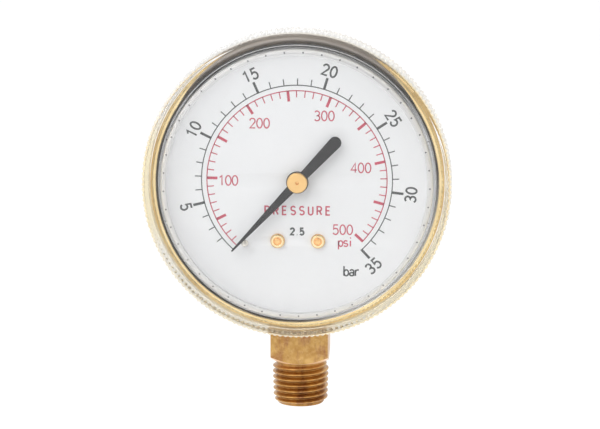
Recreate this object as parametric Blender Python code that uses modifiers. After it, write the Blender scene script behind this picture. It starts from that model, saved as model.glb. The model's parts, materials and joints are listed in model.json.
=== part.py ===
"""Dial pressure gauge with a bottom stem: case, lens, dial, Bourdon tube and its geared movement.

The row frame has its origin at the centre of the stem's lower end, +Z up and the dial facing -Y.
Lengths below are in millimetres, and MM turns them into Blender's metres. Everything behind the
dial's face is laid out in the face frame: x to the right, y up and z towards the reader, with its
origin on the pointer's axis in the plane of the stem's axis.
"""
import math

import bmesh
import bpy
from mathutils import Matrix, Vector

MM = 0.001

# Driving dimensions.
AXIS_HEIGHT = 57.2        # pointer's axis above the stem's lower end
CASE_INNER = 33.1         # radius inside the drawn case
CASE_WALL = 0.6
CASE_FLOOR = -7.0         # inner face of the case's back, in the face frame
BEAD_OUTER = 35.0         # radius over the case's rolled bead
BEAD_TOP = 14.45          # front of that bead
LENS_RADIUS = 36.7
LENS_FRONT = 20.5
LENS_SKIRT_INNER = 35.4
LENS_RING = (32.2, 32.8)  # radii of the ring behind the lens that holds the dial in
DIAL_RADIUS = 32.6
DIAL_BACK = 11.5
DIAL_THICKNESS = 0.5
SQUARE = 14.0             # width over the stem's wrench flats
NECK = 13.4               # width of the square inside the case
NECK_START = 34.0         # the neck begins this far below the pointer's axis, and the block ends at
BLOCK_TOP = 27.5
TONGUE_TOP = 10.0
THREAD_PITCH = 25.4 / 18
THREAD_LENGTH = 10.7
THREAD_END_RADIUS = 6.63  # crest radius at the small end
THREAD_DEPTH = 1.05
TAPER = 1 / 32            # rise of the radius along a 1:16 pipe thread
BORE = 1.8

TUBE_RADIUS = 25.0        # middle line of the Bourdon tube
TUBE_DEPTH = -2.6         # middle plane of the tube
TUBE_HALF_WIDTH = 3.2
TUBE_HALF_THICKNESS = 1.1
TUBE_WALL = 0.4
TUBE_TIP_ANGLE = -45.0
TUBE_ROOT_ANGLE = 262.0

BACK_PLATE = (2.1, 2.9)
FRONT_PLATE = (9.8, 10.6)
SECTOR_PLATE = (5.3, 6.1)
LINK_PLATE = (6.6, 7.2)
POINTER_PLATE = (14.0, 14.4)

MODULE = 0.25
PINION_TEETH = 12
SECTOR_WHOLE_TEETH = 144  # teeth that a full circle of the sector's pitch would hold
SECTOR_TEETH = 15
SECTOR_SIDE_ANGLE = 20.0  # the sector's pivot, from straight below the pointer's axis
TAIL_LENGTH = 6.636
TAIL_ANGLE = -61.16
TIP_PIN = (17.2, -18.2)
TIP_PIVOT = (0.4, 6.8)    # the point that the tube's tip turns about as the tube opens

REST_ANGLE = 226.9        # the pointer on its stop, counted from the right
POINTER_DISC = 2.65       # radius of the pointer's round middle
POINTER_LENGTH = 23.1
DIAL_SCREW = (4.85, -14.5)
STOP_PIN = (-12.75, -15.15)
PILLARS = {"left": (-9.0, -13.0), "right": (12.0, -9.5), "top": (-5.5, 5.5)}
MOVEMENT_SCREWS = {"left": (-4.0, -13.5), "right": (1.0, -18.5)}
STUD_RADIUS = 5.8
STUD_ANGLE = 200.0
LUG_ANGLES = (45.0, 135.0, 225.0, 315.0)
LUG_HALF_ANGLE = 6.5
CASE_LUG = (34.0, 35.2)   # inner and outer radii of the case's lugs, and of the lens's below
LENS_LUG = (34.9, 35.7)
RELIEF_HOLE = (0.0, 14.0, 4.0)
CASE_SCREW = (4.2, -29.3) # the right-hand screw through the case's back

ROUND = 52
SMALL_ROUND = 20
TINY_ROUND = 16


def polar(radius, angle, centre=(0.0, 0.0)):
    """A point at this radius and angle in degrees from a centre."""
    turn = math.radians(angle)
    return (centre[0] + radius * math.cos(turn), centre[1] + radius * math.sin(turn))


def arc(radius, start, end, count, centre=(0.0, 0.0)):
    """Points along an arc, both ends included."""
    step = (end - start) / (count - 1)
    return [polar(radius, start + step * i, centre) for i in range(count)]


def ring(radius, count, centre=(0.0, 0.0)):
    """Points of a whole circle."""
    return [polar(radius, 360 * i / count, centre) for i in range(count)]


def hull(discs, count=14):
    """The convex outline around discs given as (x, y, radius)."""
    points = sorted(point for x, y, radius in discs for point in ring(radius, count, (x, y)))
    outline = []
    for sweep in (points, points[::-1]):
        side = []
        for point in sweep:
            while len(side) > 1 and turn_of(side[-2], side[-1], point) <= 0:
                side.pop()
            side.append(point)
        outline += side[:-1]
    return outline


def turn_of(a, b, c):
    """Positive when a, b, c turn left."""
    return (b[0] - a[0]) * (c[1] - a[1]) - (b[1] - a[1]) * (c[0] - a[0])


CENTRE_DISTANCE = MODULE * (PINION_TEETH + SECTOR_WHOLE_TEETH) / 2
SECTOR_PIVOT = polar(CENTRE_DISTANCE, -90 + SECTOR_SIDE_ANGLE)
LINK_PIVOT = polar(TAIL_LENGTH, TAIL_ANGLE, SECTOR_PIVOT)
STUD = polar(STUD_RADIUS, STUD_ANGLE)
PIVOTS = {
    "case": (0.0, 0.0),
    "lens": (0.0, 0.0),
    "pointer": (0.0, 0.0),
    "sector": SECTOR_PIVOT,
    "link": LINK_PIVOT,
    "tip": TIP_PIVOT,
}

# ---------------------------------------------------------------------------
# Scene, materials and the groups that move together
# ---------------------------------------------------------------------------

for old in list(bpy.data.objects):
    bpy.data.objects.remove(old, do_unlink=True)

parts = bpy.data.collections.new("pressure_gauge")
cutters = bpy.data.collections.new("cutters")
bpy.context.scene.collection.children.link(parts)
bpy.context.scene.collection.children.link(cutters)


def material(name, colour, metallic, roughness, transmission=0.0):
    made = bpy.data.materials.new(name)
    made.use_nodes = True
    shader = made.node_tree.nodes["Principled BSDF"]
    shader.inputs["Base Color"].default_value = (*colour, 1.0)
    shader.inputs["Metallic"].default_value = metallic
    shader.inputs["Roughness"].default_value = roughness
    shader.inputs["Transmission Weight"].default_value = transmission
    made.diffuse_color = (*colour, 1.0 - 0.6 * transmission)
    return made


CASE_BRASS = material("polished_brass", (0.82, 0.62, 0.30), 1.0, 0.18)
STEM_BRASS = material("machined_brass", (0.62, 0.40, 0.14), 1.0, 0.38)
MOVEMENT_BRASS = material("movement_brass", (0.72, 0.52, 0.22), 1.0, 0.30)
SCREW_BRASS = material("screw_brass", (0.85, 0.60, 0.28), 1.0, 0.25)
TUBE_BRONZE = material("tube_bronze", (0.62, 0.36, 0.18), 1.0, 0.35)
SPRING_BRONZE = material("spring_bronze", (0.70, 0.45, 0.22), 1.0, 0.30)
STEEL = material("pin_steel", (0.62, 0.62, 0.62), 1.0, 0.30)
CLEAR_PLASTIC = material("clear_plastic", (0.95, 0.96, 0.96), 0.0, 0.06, 1.0)
DIAL_WHITE = material("dial_white", (0.80, 0.81, 0.82), 0.0, 0.45)
POINTER_BLACK = material("pointer_black", (0.06, 0.06, 0.065), 0.0, 0.45)
PLUG_RUBBER = material("plug_rubber", (0.05, 0.05, 0.05), 0.0, 0.70)


def empty(name, parent=None, location=(0, 0, 0)):
    made = bpy.data.objects.new(name, None)
    made.empty_display_size = 0.005
    parts.objects.link(made)
    made.parent = parent
    made.location = Vector(location) * MM
    return made


face = empty("face_frame", location=(0, 0, AXIS_HEIGHT))
face.rotation_euler = (math.radians(90), 0, 0)
groups = {name: empty(name + "_axis", face, (x, y, 0)) for name, (x, y) in PIVOTS.items()}


def add_object(name, data, surface, group, at=(0.0, 0.0)):
    """Link an object whose mesh is in the face frame, or in the row frame where the group is None."""
    made = bpy.data.objects.new(name, data)
    parts.objects.link(made)
    made.data.materials.append(surface)
    if group is None:
        made.location = (at[0] * MM, at[1] * MM, 0)
        return made
    pivot = PIVOTS[group]
    made.parent = groups[group]
    made.location = ((at[0] - pivot[0]) * MM, (at[1] - pivot[1]) * MM, 0)
    return made


def baked(source):
    """The evaluated mesh of an object, welded, in place of the object."""
    graph = bpy.context.evaluated_depsgraph_get()
    mesh = bpy.data.meshes.new_from_object(source.evaluated_get(graph))
    bpy.data.objects.remove(source, do_unlink=True)
    work = bmesh.new()
    work.from_mesh(mesh)
    bmesh.ops.remove_doubles(work, verts=work.verts, dist=1e-7)
    bmesh.ops.recalc_face_normals(work, faces=work.faces)
    work.to_mesh(mesh)
    work.free()
    mesh.materials.clear()
    mesh.shade_smooth()
    mesh.set_sharp_from_angle(angle=math.radians(35))
    return mesh


def turned_mesh(name, profile, steps, sweep=360.0):
    """A solid turned about Z from a profile of (radius, height) that runs down its outer side."""
    mesh = bpy.data.meshes.new(name)
    count = len(profile)
    edges = [(i, i + 1) for i in range(count - 1)]
    if profile[0][0] > 0:
        edges.append((count - 1, 0))
    mesh.from_pydata([(r * MM, 0, z * MM) for r, z in profile], edges, [])
    wire = bpy.data.objects.new(name, mesh)
    parts.objects.link(wire)
    screw = wire.modifiers.new("Turn", "SCREW")
    screw.angle = math.radians(sweep)
    screw.steps = steps
    screw.render_steps = steps
    screw.use_merge_vertices = True
    screw.merge_threshold = 1e-6
    return baked(wire)


def turned(name, profile, surface, group, at=(0.0, 0.0), steps=SMALL_ROUND):
    return add_object(name, turned_mesh(name, profile, steps), surface, group, at)


def plate_mesh(name, outlines, low, high):
    """Flat outlines, with their holes among them, extruded between two heights."""
    curve = bpy.data.curves.new(name, "CURVE")
    curve.dimensions = "2D"
    curve.fill_mode = "BOTH"
    curve.extrude = (high - low) / 2 * MM
    for outline in outlines:
        spline = curve.splines.new("POLY")
        spline.points.add(len(outline) - 1)
        for point, (x, y) in zip(spline.points, outline):
            point.co = (x * MM, y * MM, 0, 1)
        spline.use_cyclic_u = True
    flat = bpy.data.objects.new(name, curve)
    parts.objects.link(flat)
    mesh = baked(flat)
    mesh.transform(Matrix.Translation((0, 0, (low + high) / 2 * MM)))
    return mesh


def plate(name, outlines, heights, surface, group):
    return add_object(name, plate_mesh(name, outlines, *heights), surface, group)


def add_cutter(name, mesh, parent=None):
    made = bpy.data.objects.new(name, mesh)
    cutters.objects.link(made)
    made.parent = parent
    made.hide_render = True
    made.display_type = "WIRE"
    return made


def boolean(target, cutter, operation="DIFFERENCE"):
    step = target.modifiers.new(cutter.name, "BOOLEAN")
    step.operation = operation
    step.object = cutter
    step.solver = "EXACT"


def add_box(work, low, high, turn=0.0):
    """A box between two corners in millimetres, turned about Z by degrees."""
    size = [h - l for l, h in zip(low, high)]
    middle = [(h + l) / 2 for l, h in zip(low, high)]
    shape = Matrix.Translation([m * MM for m in middle]) @ Matrix.Diagonal([s * MM for s in size] + [1])
    bmesh.ops.create_cube(work, size=1, matrix=Matrix.Rotation(math.radians(turn), 4, "Z") @ shape)


def add_rod(work, start, end, radius, steps=SMALL_ROUND):
    """A cylinder between two points in millimetres."""
    first = Vector(start) * MM
    last = Vector(end) * MM
    along = last - first
    lay = along.to_track_quat("Z", "Y").to_matrix().to_4x4()
    bmesh.ops.create_cone(
        work,
        cap_ends=True,
        segments=steps,
        radius1=radius * MM,
        radius2=radius * MM,
        depth=along.length,
        matrix=Matrix.Translation((first + last) / 2) @ lay,
    )


def mesh_of(name, fill):
    """The mesh that a function adds to an empty bmesh."""
    work = bmesh.new()
    fill(work)
    mesh = bpy.data.meshes.new(name)
    work.to_mesh(mesh)
    work.free()
    return mesh


def drill(target, name, holes, steps=SMALL_ROUND):
    """Round holes along the face frame's Z, each (x, y, radius, low, high)."""
    def fill(work):
        for x, y, radius, low, high in holes:
            add_rod(work, (x, y, low), (x, y, high), radius, steps)
    boolean(target, add_cutter(name, mesh_of(name, fill), face))


# ---------------------------------------------------------------------------
# Case, relief plug and lens
# ---------------------------------------------------------------------------

def lug_ring(name, radii, low, high):
    """Short arcs between two radii that lock the lens to the case."""
    inner, outer = radii
    lugs = [
        arc(inner, angle - LUG_HALF_ANGLE, angle + LUG_HALF_ANGLE, 5)
        + arc(outer, angle + LUG_HALF_ANGLE, angle - LUG_HALF_ANGLE, 5)
        for angle in LUG_ANGLES
    ]
    return add_cutter(name, plate_mesh(name, lugs, low, high), face)


def make_case():
    wall = CASE_INNER + CASE_WALL
    back = CASE_FLOOR - CASE_WALL
    corner = 2.2
    inner_corner = corner - CASE_WALL
    bead = (CASE_INNER + BEAD_OUTER) / 2
    bead_radius = BEAD_OUTER - bead
    bead_middle = BEAD_TOP - bead_radius
    profile = [(0, CASE_FLOOR)]
    profile += arc(inner_corner, -90, 0, 4, (CASE_INNER - inner_corner, CASE_FLOOR + inner_corner))
    profile += arc(bead_radius, 180, -60, 9, (bead, bead_middle))
    profile += [(wall, bead_middle - 1.1)]
    profile += arc(corner, 0, -90, 5, (wall - corner, back + corner))
    profile += [(0, back)]
    case = turned("case", profile, CASE_BRASS, "case", steps=ROUND)

    boolean(case, lug_ring("case_lugs", CASE_LUG, bead_middle - 0.5, bead_middle + 0.6), "UNION")

    half = NECK / 2 + 0.25
    opening = mesh_of("stem_opening", lambda work: add_box(work, (-half, -38, -half), (half, -29, half)))
    boolean(case, add_cutter("stem_opening", opening, face))
    across, up = CASE_SCREW
    holes = [(side * across, up, 1.25, back - 1, CASE_FLOOR + 1) for side in (-1, 1)]
    holes.append((*RELIEF_HOLE, back - 1, CASE_FLOOR + 1))
    drill(case, "case_back_holes", holes)

    x, y, radius = RELIEF_HOLE
    shank = radius - 0.12
    lip = radius + 0.25
    plug = [(0, CASE_FLOOR + 1.1), (shank - 0.4, CASE_FLOOR + 1.1), (lip, CASE_FLOOR + 0.4)]
    plug += [(shank, CASE_FLOOR + 0.08), (shank, back - 0.06), (radius + 1.2, back - 0.06)]
    plug += [(radius + 1.0, back - 0.9), (0, back - 0.9)]
    turned("relief_plug", plug, PLUG_RUBBER, "case", (x, y))


def make_lens():
    """A cup with a flat front, a skirt outside the bead and a ring inside it."""
    edge = 1.3
    fillet = 1.5
    ring_inner, ring_outer = LENS_RING
    ring_back = DIAL_BACK + DIAL_THICKNESS + 0.3
    window_back = LENS_FRONT - 1.6
    under_bead = BEAD_TOP + 0.35
    skirt_back = 10.9
    profile = [(0, LENS_FRONT)]
    profile += arc(edge, 90, 0, 4, (LENS_RADIUS - edge, LENS_FRONT - edge))
    profile += [(LENS_RADIUS, skirt_back + 0.3), (LENS_RADIUS - 0.3, skirt_back)]
    profile += [(LENS_SKIRT_INNER, skirt_back), (LENS_SKIRT_INNER, under_bead), (ring_outer, under_bead)]
    profile += [(ring_outer, ring_back), (ring_inner, ring_back)]
    profile += arc(fillet, 0, 90, 4, (ring_inner - fillet, window_back - fillet))
    profile += [(0, window_back)]
    lens = turned("lens", profile, CLEAR_PLASTIC, "lens", steps=ROUND)

    def slots(work):
        reach = ring_outer + 0.5
        for angle in (17.5, 72.5, 107.5, 162.5):
            add_box(work, (-reach, -0.4, ring_back - 0.3), (reach, 0.4, ring_back + 1.4), angle)
    boolean(lens, add_cutter("lens_ring_slots", mesh_of("lens_ring_slots", slots), face))
    boolean(lens, lug_ring("lens_lugs", LENS_LUG, skirt_back + 0.3, skirt_back + 1.3), "UNION")


# ---------------------------------------------------------------------------
# Dial, its screws, the stop pin and the pointer
# ---------------------------------------------------------------------------

def make_dial():
    x, y = DIAL_SCREW
    outlines = [ring(DIAL_RADIUS, ROUND), ring(1.7, SMALL_ROUND)]
    outlines += [ring(0.95, TINY_ROUND, (side * x, y)) for side in (-1, 1)]
    outlines.append(ring(0.6, TINY_ROUND, STOP_PIN))
    plate("dial", outlines, (DIAL_BACK, DIAL_BACK + DIAL_THICKNESS), DIAL_WHITE, "case")

    seat = DIAL_BACK + DIAL_THICKNESS + 0.05
    head = [(0, seat + 1.0), (0.5, seat + 1.0), (0.62, seat + 0.78), (0.9, seat + 0.78)]
    head += [(1.02, seat + 0.92), (1.45, seat + 0.8), (1.74, seat + 0.45), (1.74, seat)]
    head += [(0.65, seat), (0.65, FRONT_PLATE[0] + 0.1), (0, FRONT_PLATE[0] + 0.1)]
    for side, name in ((-1, "dial_screw_left"), (1, "dial_screw_right")):
        turned(name, head, SCREW_BRASS, "case", (side * x, y))

    pin = [(0, seat + 2.85), (0.3, seat + 2.85), (0.45, seat + 2.7), (0.45, seat + 0.55)]
    pin += [(0.85, seat + 0.5), (0.85, seat), (0.5, seat), (0.5, DIAL_BACK - 0.05)]
    pin += [(0.8, DIAL_BACK - 0.05), (0.7, DIAL_BACK - 0.45), (0, DIAL_BACK - 0.45)]
    turned("stop_pin", pin, STEEL, "case", STOP_PIN, TINY_ROUND)


def make_pointer():
    point = 0.2
    outline = arc(point, -80, 80, 5, (POINTER_LENGTH - point, 0)) + arc(POINTER_DISC, 24, 156, 9)
    outline += arc(1.5, 95, 265, 13, (-13.1, 0)) + arc(POINTER_DISC, 204, 336, 9)
    pointer = plate("pointer", [outline, ring(1.26, SMALL_ROUND)], POINTER_PLATE, POINTER_BLACK, "pointer")
    pointer.rotation_euler.z = math.radians(REST_ANGLE)

    low, high = POINTER_PLATE
    wide = POINTER_DISC - 0.22
    hub = [(0.62, high + 0.95), (wide - 0.25, high + 0.95), (wide, high + 0.7), (wide, high + 0.05)]
    hub += [(1.2, high + 0.05), (1.2, low - 0.05), (1.9, low - 0.05), (1.9, low - 0.8), (0.62, low - 0.8)]
    turned("pointer_hub", hub, SCREW_BRASS, "pointer")


# ---------------------------------------------------------------------------
# Movement: plates, pillars, gears, link and hairspring
# ---------------------------------------------------------------------------

def gear_teeth(centre, whole, first, count, module, root_share, tip_share):
    """The zigzag of teeth whose first one stands at an angle; shares are of the tooth pitch."""
    pitch = 360 / whole
    radius = module * whole / 2
    points = []
    for i in range(count):
        middle = first + pitch * i
        points.append(polar(radius - 1.2 * module, middle - root_share * pitch, centre))
        points.append(polar(radius + module, middle - tip_share * pitch, centre))
        points.append(polar(radius + module, middle + tip_share * pitch, centre))
        points.append(polar(radius - 1.2 * module, middle + root_share * pitch, centre))
    return points


def make_gears():
    towards_pinion = 90 + SECTOR_SIDE_ANGLE
    low, high = SECTOR_PLATE

    # The pinion has a gap where the sector has a tooth, on the line between their centres.
    arbor = [(0, 15.2), (0.45, 15.2), (0.55, 15.1), (0.55, 13.0), (0.6, 12.9), (0.6, FRONT_PLATE[0] - 0.05)]
    arbor += [(0.8, FRONT_PLATE[0] - 0.05), (0.8, BACK_PLATE[1] + 0.05), (0.6, BACK_PLATE[1] + 0.05)]
    arbor += [(0.6, BACK_PLATE[0] + 0.1), (0, BACK_PLATE[0] + 0.1)]
    pinion = turned("pinion", arbor, STEEL, "pointer")
    teeth = gear_teeth(
        (0, 0), PINION_TEETH, towards_pinion + 180 + 180 / PINION_TEETH, PINION_TEETH, MODULE, 0.25, 0.11
    )
    teeth_mesh = plate_mesh("pinion_teeth", [teeth], low - 0.4, high + 0.4)
    boolean(pinion, add_cutter("pinion_teeth", teeth_mesh, face), "UNION")

    # The sector starts with the teeth that it will need as it turns anticlockwise.
    pitch = 360 / SECTOR_WHOLE_TEETH
    first = towards_pinion - (SECTOR_TEETH - 4) * pitch
    last = first + (SECTOR_TEETH - 1) * pitch
    rim = MODULE * SECTOR_WHOLE_TEETH / 2 - 2.4
    outline = [polar(rim, first - 2, SECTOR_PIVOT)]
    outline += gear_teeth(SECTOR_PIVOT, SECTOR_WHOLE_TEETH, first, SECTOR_TEETH, MODULE, 0.25, 0.12)
    outline += [polar(rim, last + 2, SECTOR_PIVOT)]
    outline += arc(2.4, last + 60, 360 + TAIL_ANGLE - 35, 6, SECTOR_PIVOT)
    outline += arc(1.1, 270 + TAIL_ANGLE, 450 + TAIL_ANGLE, 9, LINK_PIVOT)
    outline += arc(2.4, 360 + TAIL_ANGLE + 35, first + 300, 6, SECTOR_PIVOT)
    window = arc(rim, first + 5, last - 5, 8, SECTOR_PIVOT) + arc(6.0, last - 9, first + 9, 4, SECTOR_PIVOT)
    holes = [window, ring(1.05, SMALL_ROUND, SECTOR_PIVOT), ring(0.56, TINY_ROUND, LINK_PIVOT)]
    plate("sector_gear", [outline] + holes, SECTOR_PLATE, MOVEMENT_BRASS, "sector")

    shaft = [(0, FRONT_PLATE[1] - 0.1), (0.6, FRONT_PLATE[1] - 0.1), (0.6, FRONT_PLATE[0] - 0.05)]
    shaft += [(1.0, FRONT_PLATE[0] - 0.05), (1.0, low - 0.05), (1.6, low - 0.05)]
    shaft += [(1.6, BACK_PLATE[1] + 0.05), (0.6, BACK_PLATE[1] + 0.05), (0.6, BACK_PLATE[0] + 0.1)]
    shaft += [(0, BACK_PLATE[0] + 0.1)]
    turned("sector_arbor", shaft, STEEL, "sector", SECTOR_PIVOT)

    back, front = LINK_PLATE
    pin = [(0, front + 0.6), (0.75, front + 0.6), (0.85, front + 0.45), (0.85, front + 0.06)]
    pin += [(0.5, front + 0.06), (0.5, low - 0.06), (0.85, low - 0.06), (0.75, low - 0.5), (0, low - 0.5)]
    turned("link_pin_sector", pin, STEEL, "sector", LINK_PIVOT, TINY_ROUND)

    eyes = [(*LINK_PIVOT, 1.15), (*TIP_PIN, 1.25)]
    holes = [ring(0.58, TINY_ROUND, LINK_PIVOT), ring(0.68, TINY_ROUND, TIP_PIN)]
    plate("link", [hull(eyes, 16)] + holes, (back, front), MOVEMENT_BRASS, "link")


def make_plates():
    bearings = [(0, 0, 3.2), (*SECTOR_PIVOT, 2.4)]
    feet = [(*place, 2.2) for place in PILLARS.values()]
    screws = [(*place, 2.3) for place in MOVEMENT_SCREWS.values()]
    dial_screws = [(side * DIAL_SCREW[0], DIAL_SCREW[1], 2.2) for side in (-1, 1)]
    bores = [ring(0.7, SMALL_ROUND), ring(0.7, SMALL_ROUND, SECTOR_PIVOT)]

    holes = bores + [ring(0.76, TINY_ROUND, place) for place in PILLARS.values()]
    holes += [ring(0.98, TINY_ROUND, place) for place in MOVEMENT_SCREWS.values()]
    plate("back_plate", [hull(bearings + feet + screws)] + holes, BACK_PLATE, MOVEMENT_BRASS, "case")

    holes = bores + [ring(0.62, TINY_ROUND, place) for place in PILLARS.values()]
    holes.append(ring(0.52, TINY_ROUND, STUD))
    front = plate(
        "front_plate", [hull(bearings + feet + dial_screws)] + holes, FRONT_PLATE, MOVEMENT_BRASS, "case"
    )

    def bosses(work):
        for x, y, _ in dial_screws:
            add_rod(work, (x, y, FRONT_PLATE[0] + 0.3), (x, y, DIAL_BACK - 0.05), 1.6)
    boolean(front, add_cutter("dial_bosses", mesh_of("dial_bosses", bosses), face), "UNION")
    holes = [(x, y, 0.74, FRONT_PLATE[0] - 1, DIAL_BACK + 1) for x, y, _ in dial_screws]
    drill(front, "dial_boss_holes", holes)

    bottom = BACK_PLATE[1] + 0.05
    top = FRONT_PLATE[0] - 0.05
    pillar = [(0, top - 2.8), (0.56, top - 2.8), (0.56, top), (1.2, top), (1.2, bottom)]
    pillar += [(0.7, bottom), (0.7, BACK_PLATE[0] + 0.05), (0, BACK_PLATE[0] + 0.05)]
    for name, place in PILLARS.items():
        turned("pillar_" + name, pillar, MOVEMENT_BRASS, "case", place, TINY_ROUND)
        slotted_screw("pillar_screw_" + name, place, 1.15, FRONT_PLATE[1] + 0.05, 0.55, 0.5, top - 2.6)
    for name, place in MOVEMENT_SCREWS.items():
        slotted_screw("movement_screw_" + name, place, 1.75, BACK_PLATE[1] + 0.05, 1.0, 0.88, -2.8)


def slotted_screw(name, place, head_radius, seat, head_height, shank_radius, tip):
    """A screw whose head faces the reader, or the back where its seat lies behind its tip."""
    facing = 1 if seat > tip else -1
    top = seat + facing * head_height
    profile = [(0, top), (head_radius - 0.15, top), (head_radius, top - facing * 0.15), (head_radius, seat)]
    profile += [(shank_radius, seat), (shank_radius, tip + facing * 0.2)]
    profile += [(shank_radius - 0.2, tip), (0, tip)]
    screw = turned(name, profile[::facing], SCREW_BRASS, "case", place, TINY_ROUND)
    depth = top - facing * 0.45 * head_height
    low, high = sorted((depth, top + facing))
    reach = head_radius + 1
    x, y = place
    slot = mesh_of(name + "_slot", lambda work: add_box(
        work, (x - reach, y - 0.2, low), (x + reach, y + 0.2, high)
    ))
    boolean(screw, add_cutter(name + "_slot", slot, face))


def make_hairspring():
    collet_low = 7.4
    collet = [(0.88, collet_low + 1.7), (1.45, collet_low + 1.7), (1.6, collet_low + 1.55)]
    collet += [(1.6, collet_low), (0.88, collet_low)]
    turned("hairspring_collet", collet, MOVEMENT_BRASS, "pointer")

    stud = [(0, FRONT_PLATE[1] - 0.1), (0.45, FRONT_PLATE[1] - 0.1), (0.45, 7.9), (0.3, 7.7), (0, 7.7)]
    turned("hairspring_stud", stud, MOVEMENT_BRASS, "case", STUD, TINY_ROUND)

    turns = 4.5
    inner, outer = 1.9, 5.1
    rise = (8.0, 8.6)
    count = 90
    curve = bpy.data.curves.new("hairspring", "CURVE")
    curve.dimensions = "3D"
    curve.bevel_depth = 0.12 * MM
    curve.bevel_resolution = 0
    curve.use_fill_caps = True
    spline = curve.splines.new("POLY")
    spline.points.add(count)
    for i, point in enumerate(spline.points):
        share = i / count
        x, y = polar(inner + (outer - inner) * share, STUD_ANGLE - 360 * turns * (1 - share))
        point.co = (x * MM, y * MM, (rise[0] + (rise[1] - rise[0]) * share) * MM, 1)
    add_object("hairspring", curve, SPRING_BRONZE, "case")


# ---------------------------------------------------------------------------
# Bourdon tube and its tip
# ---------------------------------------------------------------------------

def make_tube():
    flat = TUBE_HALF_WIDTH - TUBE_HALF_THICKNESS
    section = arc(TUBE_HALF_THICKNESS, 90, -90, 6, (flat, 0))
    section += arc(TUBE_HALF_THICKNESS, 270, 90, 6, (-flat, 0))
    profile = [(TUBE_RADIUS + y, TUBE_DEPTH + x) for x, y in section]
    mesh = turned_mesh("bourdon_tube", profile, 30, TUBE_ROOT_ANGLE - TUBE_TIP_ANGLE)
    tube = add_object("bourdon_tube", mesh, TUBE_BRONZE, "case")
    tube.rotation_euler.z = math.radians(TUBE_TIP_ANGLE)
    wall = tube.modifiers.new("Wall", "SOLIDIFY")
    wall.thickness = TUBE_WALL * MM
    wall.offset = -1
    wall.use_even_offset = True

    # The tip closes the tube's end and carries the pin that pulls the link.
    pin_x, pin_y, _ = Matrix.Rotation(math.radians(-TUBE_TIP_ANGLE), 3, "Z") @ Vector((*TIP_PIN, 0))
    depth = TUBE_HALF_WIDTH + 0.9
    thick = TUBE_HALF_THICKNESS + 0.8
    cap = mesh_of("tube_tip", lambda work: add_box(
        work,
        (TUBE_RADIUS - thick, -3.2, TUBE_DEPTH - depth),
        (TUBE_RADIUS + thick, 1.6, TUBE_DEPTH + depth),
        TUBE_TIP_ANGLE,
    ))
    tip = add_object("tube_tip", cap, TUBE_BRONZE, "tip")
    post_top = LINK_PLATE[0] - 0.3
    post = mesh_of("tip_post", lambda work: add_box(
        work, (pin_x - 1.1, pin_y - 1.1, TUBE_DEPTH), (pin_x + 1.1, pin_y + 1.1, post_top), TUBE_TIP_ANGLE
    ))
    boolean(tip, add_cutter("tip_post", post, face), "UNION")
    room = 0.15
    pocket = mesh_of("tip_pocket", lambda work: add_box(
        work,
        (TUBE_RADIUS - TUBE_HALF_THICKNESS - room, -room, TUBE_DEPTH - TUBE_HALF_WIDTH - room),
        (TUBE_RADIUS + TUBE_HALF_THICKNESS + room, 3.0, TUBE_DEPTH + TUBE_HALF_WIDTH + room),
        TUBE_TIP_ANGLE,
    ))
    boolean(tip, add_cutter("tip_pocket", pocket, face))
    drill(tip, "tip_pin_hole", [(*TIP_PIN, 0.56, post_top - 2.4, post_top + 1)], TINY_ROUND)

    top = LINK_PLATE[1]
    pin = [(0, top + 0.6), (0.85, top + 0.6), (0.95, top + 0.45), (0.95, top + 0.06)]
    pin += [(0.5, top + 0.06), (0.5, post_top - 2.1), (0, post_top - 2.1)]
    turned("link_pin_tip", pin, STEEL, "tip", TIP_PIN, TINY_ROUND)


# ---------------------------------------------------------------------------
# Socket with its threaded stem, the restrictor and the case screws
# ---------------------------------------------------------------------------

def thread_radius(x, y, z):
    """The radius of a right-hand taper thread, with its crests cut flat and its ends run out."""
    crest = THREAD_END_RADIUS + z * TAPER
    phase = (z / THREAD_PITCH - math.atan2(y, x) / math.tau) % 1
    ridge = min(1.0, max(0.0, 1.25 * abs(2 * phase - 1) - 0.12))
    start = min(1.0, z / 1.1)
    finish = min(1.0, max(0.0, (THREAD_LENGTH - z) / 0.9))
    return crest - THREAD_DEPTH + THREAD_DEPTH * ridge * start * finish


def make_stem():
    """The socket's threaded stem, cut on a turned blank whose rows follow the thread."""
    rows = 36
    step = THREAD_LENGTH / rows
    blank = THREAD_END_RADIUS - THREAD_DEPTH
    top = THREAD_LENGTH + 3
    profile = [(0, top), (blank, top)]
    profile += [(blank, THREAD_LENGTH - step * i) for i in range(rows + 1)]
    profile += [(0, 0)]
    mesh = turned_mesh("socket", profile, 24)
    for vertex in mesh.vertices:
        x, y, z = vertex.co / MM
        if math.hypot(x, y) > BORE and z < THREAD_LENGTH + 1:
            wide = thread_radius(x, y, z) / math.hypot(x, y)
            vertex.co.x *= wide
            vertex.co.y *= wide
    mesh.transform(Matrix.Rotation(math.radians(5), 4, "Z"))
    return add_object("socket", mesh, STEM_BRASS, None)


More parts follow.
